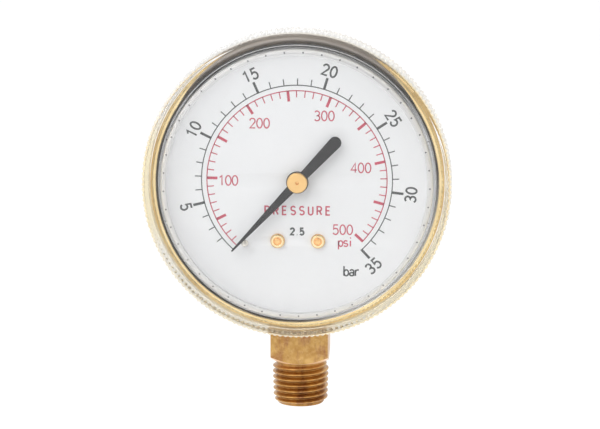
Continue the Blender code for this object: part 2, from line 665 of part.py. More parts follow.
def socket_ways(socket):
    """The bore, the small riser and the cross way that lead the pressure into the tube, and screw holes."""
    root_height = AXIS_HEIGHT - TUBE_RADIUS + 0.2
    behind = 1.2              # the riser stands this far behind the stem's axis
    cross_height = root_height - 0.3
    across, up = CASE_SCREW
    height = AXIS_HEIGHT + up

    def ways(work):
        add_rod(work, (0, 0, -1), (0, 0, AXIS_HEIGHT - 31), BORE)
        for side in (-1, 1):
            add_rod(work, (side * across, NECK, height), (side * across, 2.8, height), 0.98)
    boolean(socket, add_cutter("socket_bore", mesh_of("socket_bore", ways)))
    riser = mesh_of("socket_riser", lambda work: add_rod(
        work, (0, behind, AXIS_HEIGHT - 32), (0, behind, root_height), 0.8
    ))
    boolean(socket, add_cutter("socket_riser", riser))
    cross = mesh_of("socket_cross_way", lambda work: add_rod(
        work, (0.2, behind, cross_height), (-4.6, behind, cross_height), 0.7
    ))
    boolean(socket, add_cutter("socket_cross_way", cross))
    holes = [(*place, 0.98, -3.1, 3) for place in MOVEMENT_SCREWS.values()]
    drill(socket, "movement_screw_holes", holes, TINY_ROUND)


def make_socket():
    socket = make_stem()
    half = SQUARE / 2
    neck = NECK / 2
    shoulder = THREAD_LENGTH + 0.15
    neck_start = AXIS_HEIGHT - NECK_START
    block_top = AXIS_HEIGHT - BLOCK_TOP
    block = add_cutter("socket_block", mesh_of(
        "socket_block", lambda work: add_box(work, (-half, -half, shoulder), (half, half, neck_start))
    ))
    reach = 12.5
    flat = half - 0.1
    rise = (reach - flat) * math.tan(math.radians(30))
    cone = [(0, block_top), (reach, block_top), (reach, shoulder + rise), (flat, shoulder)]
    cone += [(flat, shoulder - 1), (0, shoulder - 1)]
    boolean(block, add_cutter("socket_chamfer", turned_mesh("socket_chamfer", cone, ROUND)), "INTERSECT")
    boolean(socket, block, "UNION")
    upper = add_cutter("socket_neck", mesh_of(
        "socket_neck", lambda work: add_box(work, (-neck, -neck, neck_start - 1), (neck, neck, block_top))
    ))
    boolean(socket, upper, "UNION")

    tongue_front = -BACK_PLATE[0] + 0.3
    tongue_top = AXIS_HEIGHT - TONGUE_TOP
    side = neck - 0.2
    tongue_low = block_top - 1
    tongue = add_cutter("socket_tongue", mesh_of("socket_tongue", lambda work: add_box(
        work, (-side, tongue_front, tongue_low), (side, neck, tongue_top)
    )))
    boolean(socket, tongue, "UNION")

    room = 0.15
    reach = TUBE_HALF_WIDTH + room
    pocket = mesh_of("root_pocket", lambda work: add_box(
        work,
        (TUBE_RADIUS - TUBE_HALF_THICKNESS - 2 * room, -6, TUBE_DEPTH - reach),
        (TUBE_RADIUS + TUBE_HALF_THICKNESS + room, room, TUBE_DEPTH + reach),
        TUBE_ROOT_ANGLE,
    ))
    boolean(socket, add_cutter("root_pocket", pocket, face))
    socket_ways(socket)

    back = CASE_FLOOR - CASE_WALL - 0.05
    across, up = CASE_SCREW
    slotted_screw("case_screw_left", (-across, up), 2.1, back, 1.3, 0.88, -3.1)
    slotted_screw("case_screw_right", (across, up), 2.1, back, 1.3, 0.88, -3.1)


def make_restrictor():
    """The slotted jet, in the bore's lower end, that damps the flow."""
    low, high = 2.0, 7.0
    outer = BORE - 0.1
    jet = [(0.4, high), (outer, high), (outer, low), (0.4, low)]
    restrictor = turned("restrictor", jet, MOVEMENT_BRASS, None)
    slot = mesh_of("restrictor_slot", lambda work: add_box(work, (-3, -0.25, low - 1), (3, 0.25, low + 0.6)))
    boolean(restrictor, add_cutter("restrictor_slot", slot))


make_case()
make_lens()
make_dial()
make_pointer()
make_gears()
make_plates()
make_hairspring()
make_tube()
make_socket()
make_restrictor()
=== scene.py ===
import json
import math

import bmesh
import bpy
from mathutils import Matrix, Vector


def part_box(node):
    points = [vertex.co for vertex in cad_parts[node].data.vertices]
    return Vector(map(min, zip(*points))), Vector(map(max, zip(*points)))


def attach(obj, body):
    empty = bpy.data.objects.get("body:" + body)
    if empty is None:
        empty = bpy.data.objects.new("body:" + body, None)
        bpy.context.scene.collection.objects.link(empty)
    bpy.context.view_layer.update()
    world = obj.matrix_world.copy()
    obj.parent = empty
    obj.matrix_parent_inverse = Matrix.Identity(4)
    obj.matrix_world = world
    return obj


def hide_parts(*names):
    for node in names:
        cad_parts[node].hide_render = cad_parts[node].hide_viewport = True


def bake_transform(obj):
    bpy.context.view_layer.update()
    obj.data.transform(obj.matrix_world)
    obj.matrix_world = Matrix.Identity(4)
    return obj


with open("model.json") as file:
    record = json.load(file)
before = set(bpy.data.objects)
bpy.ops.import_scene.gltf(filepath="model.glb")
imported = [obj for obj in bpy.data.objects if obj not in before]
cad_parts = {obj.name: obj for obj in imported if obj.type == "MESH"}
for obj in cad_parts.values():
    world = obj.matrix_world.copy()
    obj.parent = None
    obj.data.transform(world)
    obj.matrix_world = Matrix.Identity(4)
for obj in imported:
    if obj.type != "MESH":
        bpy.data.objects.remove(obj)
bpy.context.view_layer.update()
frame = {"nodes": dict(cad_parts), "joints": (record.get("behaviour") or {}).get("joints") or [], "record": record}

# Shapes are worked out in millimetres in the face frame: x to the right, y up and z towards the
# reader, with its origin on the pointer's axis in the plane of the stem's axis.
MM = 0.001
AXIS = Vector(next(joint for joint in frame["joints"] if joint["name"] == "pointer_turn")["pos_m"])
FACE = Matrix.Translation(AXIS) @ Matrix.Rotation(math.radians(90), 4, "X")
TO_FACE = FACE.inverted()
ROW = Matrix.Identity(4)


def face_box(node):
    """A CAD node's box in the face frame, in millimetres."""
    ends = [TO_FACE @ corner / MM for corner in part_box(node)]
    return [Vector(min(pair) for pair in zip(*ends)), Vector(max(pair) for pair in zip(*ends))]


def reach(node):
    """Half a node's width."""
    low, high = face_box(node)
    return (high.x - low.x) / 2


def middle(node):
    low, high = face_box(node)
    return (low + high) / 2


# ---- Outlines and meshes ----

def polar(radius, angle, centre=(0.0, 0.0)):
    turn = math.radians(angle)
    return (centre[0] + radius * math.cos(turn), centre[1] + radius * math.sin(turn))


def arc(radius, start, end, count, centre=(0.0, 0.0)):
    step = (end - start) / (count - 1)
    return [polar(radius, start + step * i, centre) for i in range(count)]


def ring(radius, count, centre=(0.0, 0.0)):
    return [polar(radius, 360 * i / count, centre) for i in range(count)]


def filleted(corners, closed=False, steps=4):
    """An outline whose corners, each (x, y, radius), are rounded."""
    points = []
    count = len(corners)
    for i, (x, y, radius) in enumerate(corners):
        at = Vector((x, y))
        if radius <= 0 or (not closed and i in (0, count - 1)):
            points.append((x, y))
            continue
        before = Vector(corners[i - 1][:2]) - at
        after = Vector(corners[(i + 1) % count][:2]) - at
        half = before.angle(after) / 2
        cut = min(radius / math.tan(half), 0.48 * before.length, 0.48 * after.length)
        first = at + before.normalized() * cut
        last = at + after.normalized() * cut
        centre = at + (before.normalized() + after.normalized()).normalized() * (cut / math.cos(half))
        a = first - centre
        b = last - centre
        sweep = a.angle_signed(b)
        for k in range(steps + 1):
            turn = Matrix.Rotation(-sweep * k / steps, 2)
            points.append(tuple(centre + turn @ a))
    return points


def lathe(profile, steps, change=None, centre=(0.0, 0.0)):
    """A bmesh turned about Z from (radius, height) points running down its outer side.

    change(radius, height, turn) gives the radius and height of one point where the shape isn't round.
    """
    work = bmesh.new()
    rows = []
    for r, z in profile:
        if r == 0:
            rows.append([work.verts.new((*centre, z))] * steps)
            continue
        row = []
        for i in range(steps):
            turn = math.tau * i / steps
            wide, high = change(r, z, turn) if change else (r, z)
            row.append(work.verts.new((
                centre[0] + wide * math.cos(turn), centre[1] + wide * math.sin(turn), high
            )))
        rows.append(row)
    pairs = list(zip(rows, rows[1:]))
    if profile[0][0] > 0:
        pairs.append((rows[-1], rows[0]))
    for upper, lower in pairs:
        for i in range(steps):
            j = (i + 1) % steps
            corners = [upper[i], lower[i], lower[j], upper[j]]
            work.faces.new(list(dict.fromkeys(corners)))
    return work


def linked(name, data):
    """A new object in the scene."""
    made = bpy.data.objects.new(name, data)
    bpy.context.scene.collection.objects.link(made)
    return made


def final_mesh(thing):
    """A new mesh of an object as its modifiers leave it."""
    bpy.context.view_layer.update()
    return bpy.data.meshes.new_from_object(thing.evaluated_get(bpy.context.evaluated_depsgraph_get()))


def apply_steps(target):
    """Put the result of a mesh object's modifiers in place of its mesh."""
    mesh = final_mesh(target)
    target.modifiers.clear()
    target.data = mesh


def slab(outlines, low, high, edge=0.0):
    """A plate mesh from closed outlines, holes among them, with its rims bevelled."""
    curve = bpy.data.curves.new("outline", "CURVE")
    curve.dimensions = "2D"
    curve.fill_mode = "BOTH"
    curve.extrude = (high - low) / 2 - edge
    curve.bevel_depth = edge
    curve.bevel_resolution = 2
    curve.offset = -edge
    for outline in outlines:
        spline = curve.splines.new("POLY")
        spline.points.add(len(outline) - 1)
        for point, (x, y) in zip(spline.points, outline):
            point.co = (x, y, 0, 1)
        spline.use_cyclic_u = True
    flat = linked("outline", curve)
    mesh = final_mesh(flat)
    bpy.data.objects.remove(flat)
    work = bmesh.new()
    work.from_mesh(mesh)
    bmesh.ops.translate(work, verts=work.verts, vec=(0, 0, (low + high) / 2))
    bmesh.ops.remove_doubles(work, verts=work.verts, dist=1e-4)
    bpy.data.meshes.remove(mesh)
    return work


def shade(mesh, sharp=38):
    """Smooth shading that breaks at edges sharper than an angle."""
    mesh.shade_smooth()
    mesh.set_sharp_from_angle(angle=math.radians(sharp))


def plain_mesh(work, name):
    mesh = bpy.data.meshes.new(name)
    work.to_mesh(mesh)
    work.free()
    return mesh


def mesh_from(work, name, matrix, sharp=38):
    """A shaded mesh in the row frame from a bmesh in millimetres."""
    bmesh.ops.recalc_face_normals(work, faces=work.faces)
    mesh = plain_mesh(work, name)
    mesh.transform(matrix @ Matrix.Scale(MM, 4))
    shade(mesh, sharp)
    return mesh


def piece(name, work, body, slot, nodes=(), look=None, matrix=FACE, sharp=38):
    """A visual piece from a bmesh; its look is the material of its slot if none is named."""
    made = linked(name, mesh_from(work, name, matrix, sharp))
    made.data.materials.append(MATERIALS[look or slot])
    if nodes:
        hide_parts(*nodes)
    if body:
        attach(made, body)
    return made


def cut(target, work, matrix, operation="DIFFERENCE"):
    """Apply an exact Boolean with a bmesh in millimetres."""
    tool = linked("tool", mesh_from(work, "tool", matrix))
    step = target.modifiers.new("cut", "BOOLEAN")
    step.operation = operation
    step.object = tool
    step.solver = "EXACT"
    apply_steps(target)
    shade(target.data)
    bpy.data.objects.remove(tool)


def box_work(low, high, turn=0.0):
    work = bmesh.new()
    size = [h - l for l, h in zip(low, high)]
    centre = [(h + l) / 2 for l, h in zip(low, high)]
    shape = Matrix.Translation(centre) @ Matrix.Diagonal(size + [1])
    bmesh.ops.create_cube(work, size=1, matrix=Matrix.Rotation(math.radians(turn), 4, "Z") @ shape)
    return work


# ---- Materials ----

class Nodes:
    """A material's node tree with short calls for the nodes used here."""

    def __init__(self, name):
        self.material = bpy.data.materials.new(name)
        self.material.use_nodes = True
        self.tree = self.material.node_tree
        self.shader = self.tree.nodes["Principled BSDF"]
        self.output = self.tree.nodes["Material Output"]
        self.place = self.add("ShaderNodeTexCoord").outputs["Object"]

    def add(self, kind, **values):
        node = self.tree.nodes.new(kind)
        for key, value in values.items():
            setattr(node, key, value)
        return node

    def feed(self, socket, value):
        if isinstance(value, bpy.types.NodeSocket):
            self.tree.links.new(value, socket)
        else:
            socket.default_value = value

    def fill(self, node, **values):
        for key, value in values.items():
            self.feed(node.inputs[key.replace("_", " ")], value)

    def set(self, **values):
        self.fill(self.shader, **values)

    def math(self, operation, a, b=0.0, clamp=False):
        node = self.add("ShaderNodeMath", operation=operation, use_clamp=clamp)
        self.feed(node.inputs[0], a)
        self.feed(node.inputs[1], b)
        return node.outputs[0]

    def plus(self, first, *others):
        for other in others:
            first = self.math("ADD", first, other)
        return first

    def times(self, first, *others):
        for other in others:
            first = self.math("MULTIPLY", first, other)
        return first

    def minus(self, a, b):
        return self.math("SUBTRACT", a, b)

    def above(self, value, limit):
        return self.math("GREATER_THAN", value, limit)

    def below(self, value, limit):
        return self.math("LESS_THAN", value, limit)

    def within(self, value, low, high):
        return self.times(self.above(value, low), self.below(value, high))

    def noise(self, scale, detail=4.0, stretch=(1, 1, 1), place=None):
        mapping = self.add("ShaderNodeMapping")
        self.fill(mapping, Vector=place or self.place, Scale=stretch)
        node = self.add("ShaderNodeTexNoise")
        self.fill(node, Vector=mapping.outputs[0], Scale=scale, Detail=detail, Roughness=0.55)
        return node.outputs["Fac"]

    def spread(self, value, low, high, start=0.3, end=0.7):
        """A value between start and end, spread over low to high."""
        node = self.add("ShaderNodeMapRange")
        self.fill(node, Value=value, From_Min=start, From_Max=end, To_Min=low, To_Max=high)
        return node.outputs[0]

    def tint(self, share, first, second):
        node = self.add("ShaderNodeMix", data_type="RGBA")
        self.fill(node, Factor=share, A=first, B=second)
        return node.outputs["Result"]

    def patchy(self, value, first, second, start=0.3, end=0.7):
        """The first colour where the value is below start, and the second where it is above end."""
        return self.tint(self.spread(value, 0, 1, start, end), first, second)

    def bump(self, height, strength, distance):
        node = self.add("ShaderNodeBump")
        self.fill(node, Height=height, Strength=strength, Distance=distance)
        self.set(Normal=node.outputs[0])

    def parts(self, vector):
        node = self.add("ShaderNodeSeparateXYZ")
        self.feed(node.inputs[0], vector)
        return node.outputs

    def hypotenuse(self, a, b):
        return self.math("SQRT", self.plus(self.times(a, a), self.times(b, b)))

    def around(self, centre):
        """Distance from an axis parallel to the face's, depth, and a little of the angle, as a place."""
        shift = self.add("ShaderNodeVectorMath", operation="SUBTRACT")
        self.feed(shift.inputs[0], self.place)
        shift.inputs[1].default_value = centre
        x, y, z = self.parts(shift.outputs[0])
        joined = self.add("ShaderNodeCombineXYZ")
        self.fill(joined, X=self.hypotenuse(x, z), Y=y, Z=self.times(self.math("ARCTAN2", z, x), 0.0006))
        return joined.outputs[0]

    def distance(self, centre):
        """Distance from an axis through a point, parallel to the face's axis."""
        return self.parts(self.around(centre))[0]

    def turn_from_top(self):
        """Angle round the face's axis from straight up, clockwise, in radians."""
        x, y, z = self.parts(self.place)
        return self.math("ARCTAN2", self.minus(x, AXIS.x), self.minus(z, AXIS.z))

    def facing(self, turn):
        """1 on the side of the face's axis that lies at an angle clockwise from the top, -1 opposite."""
        return self.math("COSINE", self.minus(self.turn_from_top(), turn))


def rgb(red, green, blue):
    return (red, green, blue, 1.0)


def grained(name, first, second, patches, grain, rough, bump, metallic=0.0, span=(0.3, 0.7)):
    """Patches of two colours under a fine grain that sets the roughness and the bump.

    patches and grain are a noise's scale, detail and stretch; bump is its strength and distance.
    """
    n = Nodes(name)
    fine = n.noise(*grain)
    n.set(Metallic=metallic, Base_Color=n.patchy(n.noise(*patches), first, second, *span))
    n.set(Roughness=n.spread(fine, *rough))
    n.bump(fine, *bump)
    return n


def turned_brass(name, first, second, rough, marks):
    """Brass with turning marks round the face's axis, and faint stains."""
    n = Nodes(name)
    lines = n.noise(9000, 3, place=n.around(AXIS))
    stains = n.noise(160, 5)
    n.set(Metallic=1.0, Base_Color=n.patchy(stains, first, second, 0.35, 0.7))
    n.set(Roughness=n.spread(n.plus(n.times(lines, 0.6), n.times(stains, 0.4)), *rough))
    n.bump(lines, marks, 0.00002)
    return n.material


CASE_WALL = 0.6
CASE_OUTER = 33.7
CASE_INNER = CASE_OUTER - CASE_WALL
CASE_CORNER = 2.2
SHADE_RADIUS = 33.5         # how far out the painted shade goes
SHADE_EXTRA = 1.5           # how much further it goes near the top
SHADE_END_INSIDE = -5.2     # z of its rear edge on the inner wall
SHADE_END_OUTSIDE = 10.0
# Sides where light is painted into the case's inner wall and the lens's rims.
LOWER_RIGHT = 2.3             # radians clockwise from the top
LEFT = -1.6


def case_brass():
    """Bright lacquered brass with painted shade, dark brown on its inner wall and grey near the top of its bead,
    turned paler on the lower right as painted light.
    """
    n = Nodes("case_brass")
    lines = n.noise(9000, 3, place=n.around(AXIS))
    stains = n.noise(160, 5)
    radius = n.distance(AXIS)
    extra = n.spread(n.math("ABSOLUTE", n.turn_from_top()), SHADE_EXTRA * MM, 0.0, 0.45, 1.0)
    over = n.minus(radius, n.plus(extra, n.times(stains, 0.0002), SHADE_RADIUS * MM))
    wall = (CASE_INNER + 0.2) * MM, (CASE_OUTER - 0.1) * MM
    deepest = n.spread(radius, -SHADE_END_INSIDE * MM, -SHADE_END_OUTSIDE * MM, *wall)
    beyond = n.minus(n.plus(n.parts(n.place)[1], n.times(stains, 0.002)), deepest)
    # Painted shade: a mask over the inner wall and, further out, the top of the bead, where shade falls.
    painted_shade = n.times(n.spread(over, 1.0, 0.0, -0.0001, 0.0001), n.spread(beyond, 1.0, 0.0, -0.0004, 0.0012))
    bright = n.patchy(stains, rgb(0.95, 0.76, 0.42), rgb(0.84, 0.62, 0.29), 0.35, 0.7)
    shade_brown = n.patchy(stains, rgb(0.085, 0.065, 0.042), rgb(0.045, 0.034, 0.022), 0.35, 0.65)
    shade_colour = n.patchy(radius, shade_brown, rgb(0.34, 0.30, 0.27), (CASE_OUTER + 0.1) * MM, (CASE_OUTER + 0.6) * MM)
    # Painted light: the shade colour turns pale on the lower right side of the case.
    painted_light_side = n.spread(n.facing(LOWER_RIGHT), 0.0, 0.8, 0.7, 0.93)
    shade_colour = n.tint(painted_light_side, shade_colour, rgb(0.76, 0.73, 0.68))
    rough = n.spread(n.plus(n.times(lines, 0.6), n.times(stains, 0.4)), 0.06, 0.16)
    n.set(Metallic=1.0, Base_Color=n.tint(painted_shade, bright, shade_colour))
    n.set(Roughness=n.plus(rough, n.times(painted_shade, 0.25)))
    n.bump(lines, 0.06, 0.00002)
    return n.material


DIAL_SCREWS = ("dial_screw_left", "dial_screw_right")
SCREW_BOSS = 0.98
SCREW_EDGE = 1.58


def dial_screw_brass():
    """Brass, redder at its edge and in the middle than on the ring between them: painted shade and painted
    highlight that stand in for the head's relief.
    """
    n = Nodes("dial_screw_brass")
    stains = n.noise(500, 4)
    centres = [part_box(node)[0].lerp(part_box(node)[1], 0.5) for node in DIAL_SCREWS]
    radius = n.math("MINIMUM", *[n.distance(centre) for centre in centres])
    highlight_pale = n.patchy(stains, rgb(1.0, 0.80, 0.47), rgb(0.96, 0.72, 0.38), 0.35, 0.7)
    shade_orange = n.patchy(stains, rgb(0.98, 0.60, 0.25), rgb(0.88, 0.50, 0.19), 0.35, 0.7)
    # Painted highlight on the raised ring, painted shade at the edge and in the middle.
    painted_highlight_ring = n.within(radius, SCREW_BOSS * MM, SCREW_EDGE * MM)
    n.set(Metallic=1.0, Base_Color=n.tint(painted_highlight_ring, shade_orange, highlight_pale))
    n.set(Roughness=n.spread(stains, 0.10, 0.24))
    n.bump(stains, 0.1, 0.00002)
    return n.material


THREAD_LENGTH = 10.7
THREAD_END_RADIUS = 6.63
THREAD_DEPTH = 1.05
TAPER = 1 / 32


def stem_brass():
    """Drawn brass, stained in patches, brighter on the turned chamfer and darkest in the thread's roots."""
    n = Nodes("stem_brass")
    grain = n.noise(2600, 3, (1, 1, 0.12))
    patches = n.noise(300, 5)
    streaks = n.noise(520, 4, (1, 1, 0.35))
    fine = n.noise(1500, 3)
    x, y, z = n.parts(n.place)
    radius = n.hypotenuse(x, y)
    threaded = n.below(z, (THREAD_LENGTH + 0.1) * MM)
    crest = n.plus(n.times(z, TAPER), THREAD_END_RADIUS * MM)
    depth = n.math("DIVIDE", n.minus(crest, radius), THREAD_DEPTH * MM, clamp=True)
    normal = n.add("ShaderNodeNewGeometry").outputs["Normal"]
    facing_down = n.below(n.parts(normal)[2], -0.6)
    chamfer = n.times(facing_down, n.minus(1.0, threaded))

    worn = n.patchy(patches, rgb(0.66, 0.395, 0.125), rgb(0.47, 0.245, 0.068), 0.36, 0.64)
    worn = n.tint(n.spread(streaks, 0, 0.9, 0.5, 0.68), worn, rgb(0.36, 0.15, 0.07))
    worn = n.tint(n.spread(fine, 0, 0.4, 0.45, 0.8), worn, rgb(0.86, 0.60, 0.27))
    cut_brass = n.patchy(streaks, rgb(0.42, 0.20, 0.045), rgb(0.26, 0.11, 0.022), 0.4, 0.65)
    colour = n.tint(n.times(depth, threaded, 0.75), worn, cut_brass)
    n.set(Metallic=n.minus(1.0, n.times(chamfer, 0.7)))
    n.set(Base_Color=n.tint(n.times(chamfer, 0.9), colour, rgb(0.95, 0.66, 0.42)))
    rough = n.plus(n.times(grain, 0.5), n.times(patches, 0.5))
    n.set(Roughness=n.spread(rough, 0.26, 0.5), Coat_Weight=0.35, Coat_Roughness=0.25)
    n.bump(n.plus(n.times(patches, 1.6), grain, n.times(fine, 0.6)), 0.35, 0.00006)
    return n.material


def drawn_bronze(name, first, second, scale):
    patches, grain = (scale, 5), (scale * 12, 2)
    return grained(name, first, second, patches, grain, (0.25, 0.42), (0.1, 0.00001), 1.0).material


def movement_brass():
    colours = rgb(0.80, 0.60, 0.28), rgb(0.68, 0.47, 0.18)
    grain = (1800, 3, (1, 1, 0.2))
    return grained("movement_brass", *colours, (220, 4), grain, (0.22, 0.4), (0.15, 0.00002), 1.0).material


def pin_steel():
    colours = rgb(0.82, 0.79, 0.73), rgb(0.66, 0.62, 0.56)
    grain = (5000, 3, (1, 0.1, 1))
    return grained("pin_steel", *colours, grain, grain, (0.15, 0.32), (0.1, 0.00001), 1.0).material


def dial_white():
    colours = rgb(0.905, 0.905, 0.918), rgb(0.88, 0.882, 0.895)
    return grained("dial_white", *colours, (45, 3), (3500, 3), (0.38, 0.55), (0.08, 0.00001)).material


def ink(name, first, second):
    grain = (4200, 3)
    n = grained(name, first, second, grain, grain, (0.4, 0.6), (0.1, 0.000005), span=(0.35, 0.65))
    return n.material


def pointer_black():
    colours = rgb(0.014, 0.013, 0.015), rgb(0.030, 0.028, 0.031)
    bump = (0.2, 0.00002)
    n = grained("pointer_black", *colours, (700, 5), (2600, 4), (0.5, 0.68), bump, span=(0.5, 0.8))
    n.set(Specular_IOR_Level=0.22)
    return n.material


def rubber(name):
    colours = rgb(0.03, 0.03, 0.03), rgb(0.055, 0.053, 0.05)
    return grained(name, *colours, (1800, 4), (1800, 4), (0.55, 0.8), (0.3, 0.00003))


def gasket_rubber():
    """Black rubber painted light grey all round but its uppermost part, which stays black as painted shade."""
    n = rubber("gasket_rubber")
    from_top = n.math("ABSOLUTE", n.turn_from_top())
    # Painted shade: the ring stays black near the top and is painted light grey elsewhere.
    edge = n.plus(from_top, n.times(n.noise(1800, 4), 0.2))
    n.set(Base_Color=n.patchy(edge, rgb(0.03, 0.03, 0.03), rgb(0.74, 0.74, 0.75), 0.9, 1.3))
    return n.material


KNURL_RADIUS = 36.0
SKIRT_RADIUS = 35.3
SKIRT_FRONT = 15.0
BRASS_REFLECTION_RIM = (36.2, 36.4)       # where the painted reflection of the brass behind the rim stops
LIP = (30.8, 32.4)            # the window's edge over the inner ring
LIP_FRONT = 19.2
TICK_REFLECTION_RING = (31.3, 31.7)
TICK_REFLECTION_COUNT = 45
FIRST_TICK_REFLECTION = 0.052


def clear_lens():
    """Clear plastic that lets lamps light what is behind it, with satin rims, a painted reflection of the case's
    brass in them and small dark painted reflections of the dial's ticks.
    """
    n = Nodes("clear_lens")
    radius = n.distance(AXIS)
    depth = n.parts(n.place)[1]
    knurl = n.above(radius, KNURL_RADIUS * MM)
    covered = n.above(depth, -SKIRT_FRONT * MM)
    skirt = n.times(n.above(radius, SKIRT_RADIUS * MM), covered)
    behind = n.above(depth, -LIP_FRONT * MM)
    lip = n.times(n.within(radius, *[edge * MM for edge in LIP]), behind)
    rim = n.math("MAXIMUM", knurl, skirt)
    satin = n.math("MAXIMUM", rim, lip)
    # Painted reflections: small dark marks round the ring stand in for the dial's ticks seen in it.
    turn = n.minus(n.turn_from_top(), FIRST_TICK_REFLECTION)
    near_tick_reflection = n.above(n.math("COSINE", n.times(turn, TICK_REFLECTION_COUNT)), 0.965)
    tick_reflection = n.times(near_tick_reflection, n.within(radius, *[edge * MM for edge in TICK_REFLECTION_RING]), behind)

    right = n.spread(n.facing(LOWER_RIGHT), 0.15, 0.95, -1.0, 1.0)
    left = n.spread(n.facing(LEFT), 0.0, 1.0, 0.86, 0.97)
    inner_rim = n.spread(radius, 1.0, 0.35, *[edge * MM for edge in BRASS_REFLECTION_RIM])
    # Painted reflection: the satin rims take the case's brass colour on the lower right and on the left.
    painted_brass_reflection = n.times(n.math("MAXIMUM", right, left), inner_rim, rim)
    rims = n.tint(painted_brass_reflection, rgb(0.95, 0.948, 0.952), rgb(0.98, 0.87, 0.58))
    colour = n.tint(satin, rgb(0.985, 0.99, 0.99), rims)
    n.set(Base_Color=n.tint(tick_reflection, colour, rgb(0.17, 0.17, 0.19)))
    n.set(Transmission_Weight=n.minus(1.0, n.times(satin, 0.5)))
    haze = n.spread(n.noise(900, 4), 0.0, 0.02)
    n.set(IOR=1.49, Roughness=n.plus(haze, n.times(satin, 0.25)))
    n.bump(n.noise(60, 2), 0.02, 0.00005)
    clear = n.add("ShaderNodeBsdfTransparent")
    n.fill(clear, Color=rgb(0.96, 0.965, 0.965))
    mix = n.add("ShaderNodeMixShader")
    n.feed(mix.inputs[0], n.add("ShaderNodeLightPath").outputs["Is Shadow Ray"])
    n.feed(mix.inputs[1], n.shader.outputs[0])
    n.feed(mix.inputs[2], clear.outputs[0])
    n.feed(n.output.inputs["Surface"], mix.outputs[0])
    return n.material


MATERIALS = {
    "case_brass": case_brass(),
    "stem_brass": stem_brass(),
    "movement_brass": movement_brass(),
    "screw_brass": turned_brass(
        "screw_brass", rgb(0.95, 0.62, 0.29), rgb(0.86, 0.50, 0.20), (0.16, 0.32), 0.15
    ),
    "dial_screw_brass": dial_screw_brass(),
    "hub_brass": turned_brass("hub_brass", rgb(0.97, 0.63, 0.26), rgb(0.93, 0.57, 0.21), (0.25, 0.42), 0.12),
    "tube_bronze": drawn_bronze("tube_bronze", rgb(0.72, 0.45, 0.25), rgb(0.55, 0.32, 0.16), 300),
    "spring_bronze": drawn_bronze("spring_bronze", rgb(0.80, 0.55, 0.30), rgb(0.62, 0.40, 0.20), 700),
    "pin_steel": pin_steel(),
    "clear_lens": clear_lens(),
    "dial_white": dial_white(),
    "pointer_black": pointer_black(),
    "plug_rubber": rubber("plug_rubber").material,
    "gasket_rubber": gasket_rubber(),
    "ink_black": ink("ink_black", rgb(0.055, 0.06, 0.06), rgb(0.08, 0.085, 0.085)),
    "ink_red": ink("ink_red", rgb(0.54, 0.055, 0.105), rgb(0.60, 0.08, 0.13)),
}

for part in frame["record"]["subparts"]:
    carried = frame["nodes"][part["node"]]
    carried.data.materials.clear()
    carried.data.materials.append(MATERIALS[part["material_slot"]])


# ---- Lens ----

ROUND = 256
SMALL_ROUND = 64
LUG_ANGLES = (45.0, 135.0, 225.0, 315.0)
LUG_HALF_ANGLE = 6.5
CASE_LUG_INNER = 34.0
BEAD_OUTER = 35.0
LENS_SKIRT_INNER = 35.4
LENS_LUG_INNER = 34.9
LENS_RING = (32.2, 32.8)
LENS_EDGE = 1.3
WINDOW = 1.6              # its thickness
WINDOW_FILLET = 1.5
LENS_TEETH = 180
KNURL_DEPTH = 0.3
KNURL_EDGE = 0.8          # how far in from the rim the teeth start
SLOT_ANGLES = [quarter + side for quarter in (0, 90, 180, 270) for side in (-17.5, 17.5)]
SLOT_HALF_ANGLE = 0.7
SLOT_DEPTH = 1.4


def close_to(turn, angles, half):
    """Whether a turn in radians is within half a width, in degrees, of one of the angles."""
    return any(abs((math.degrees(turn) - angle + 180) % 360 - 180) <= half for angle in angles)


def make_lens():
    low, high = face_box("lens")
    radius = reach("lens")
    back, front = low.z, high.z
    ring_inner, ring_outer = LENS_RING
    ring_back = face_box("dial")[1].z + 0.3
    under_bead = face_box("case")[1].z + 0.35
    window_back = front - WINDOW
    lug_low, lug_high = back + 0.3, back + 1.3
    slot_top = ring_back + SLOT_DEPTH + 0.3
    lug_sides = (lug_low - 0.08, lug_low, lug_high, lug_high + 0.08)
    skirt = LENS_SKIRT_INNER
    corners = [(0, front, 0), (radius, front, LENS_EDGE), (radius, back, 0.3), (skirt, back, 0.1)]
    corners += [(skirt, side, 0) for side in lug_sides]
    corners += [
        (skirt, under_bead, 0.4), (ring_outer, under_bead, 0.3), (ring_outer, slot_top, 0),
        (ring_outer, ring_back, 0.12), (ring_inner, ring_back, 0.12), (ring_inner, slot_top, 0),
        (ring_inner, window_back, WINDOW_FILLET), (0, window_back, 0),
    ]

    def details(r, z, turn):
        """Teeth round the rim, lugs inside the skirt and slots in the ring's back."""
        if r > radius - KNURL_EDGE:
            share = min(1.0, (r - radius + KNURL_EDGE) / 0.6)
            wave = 0.5 + 0.5 * math.cos(turn * LENS_TEETH)
            return r - KNURL_DEPTH * share * (1 - wave ** 0.8), z
        if abs(r - skirt) < 0.01 and lug_low - 0.01 < z < lug_high + 0.01:
            return (LENS_LUG_INNER if close_to(turn, LUG_ANGLES, LUG_HALF_ANGLE) else r), z
        if ring_inner - 0.01 < r < ring_outer + 0.01 and z < ring_back + 0.2:
            return r, z + (SLOT_DEPTH if close_to(turn, SLOT_ANGLES, SLOT_HALF_ANGLE) else 0)
        return r, z

    profile = filleted(corners, steps=7)
    # Rings on the flats beside the fillets keep the window's shading flat.
    profile.insert(1, (radius - LENS_EDGE - 0.4, front))
    profile.insert(-1, (ring_inner - WINDOW_FILLET - 0.4, window_back))
    work = lathe(profile, LENS_TEETH * 6, details)
    piece("lens_clear", work, "lens", "clear_lens", ["lens"])


# ---- Case, its screws and the relief plug ----

RELIEF_HOLE = 4.0
CASE_HOLES = {"relief_plug": RELIEF_HOLE, "case_screw_left": 1.25, "case_screw_right": 1.25}


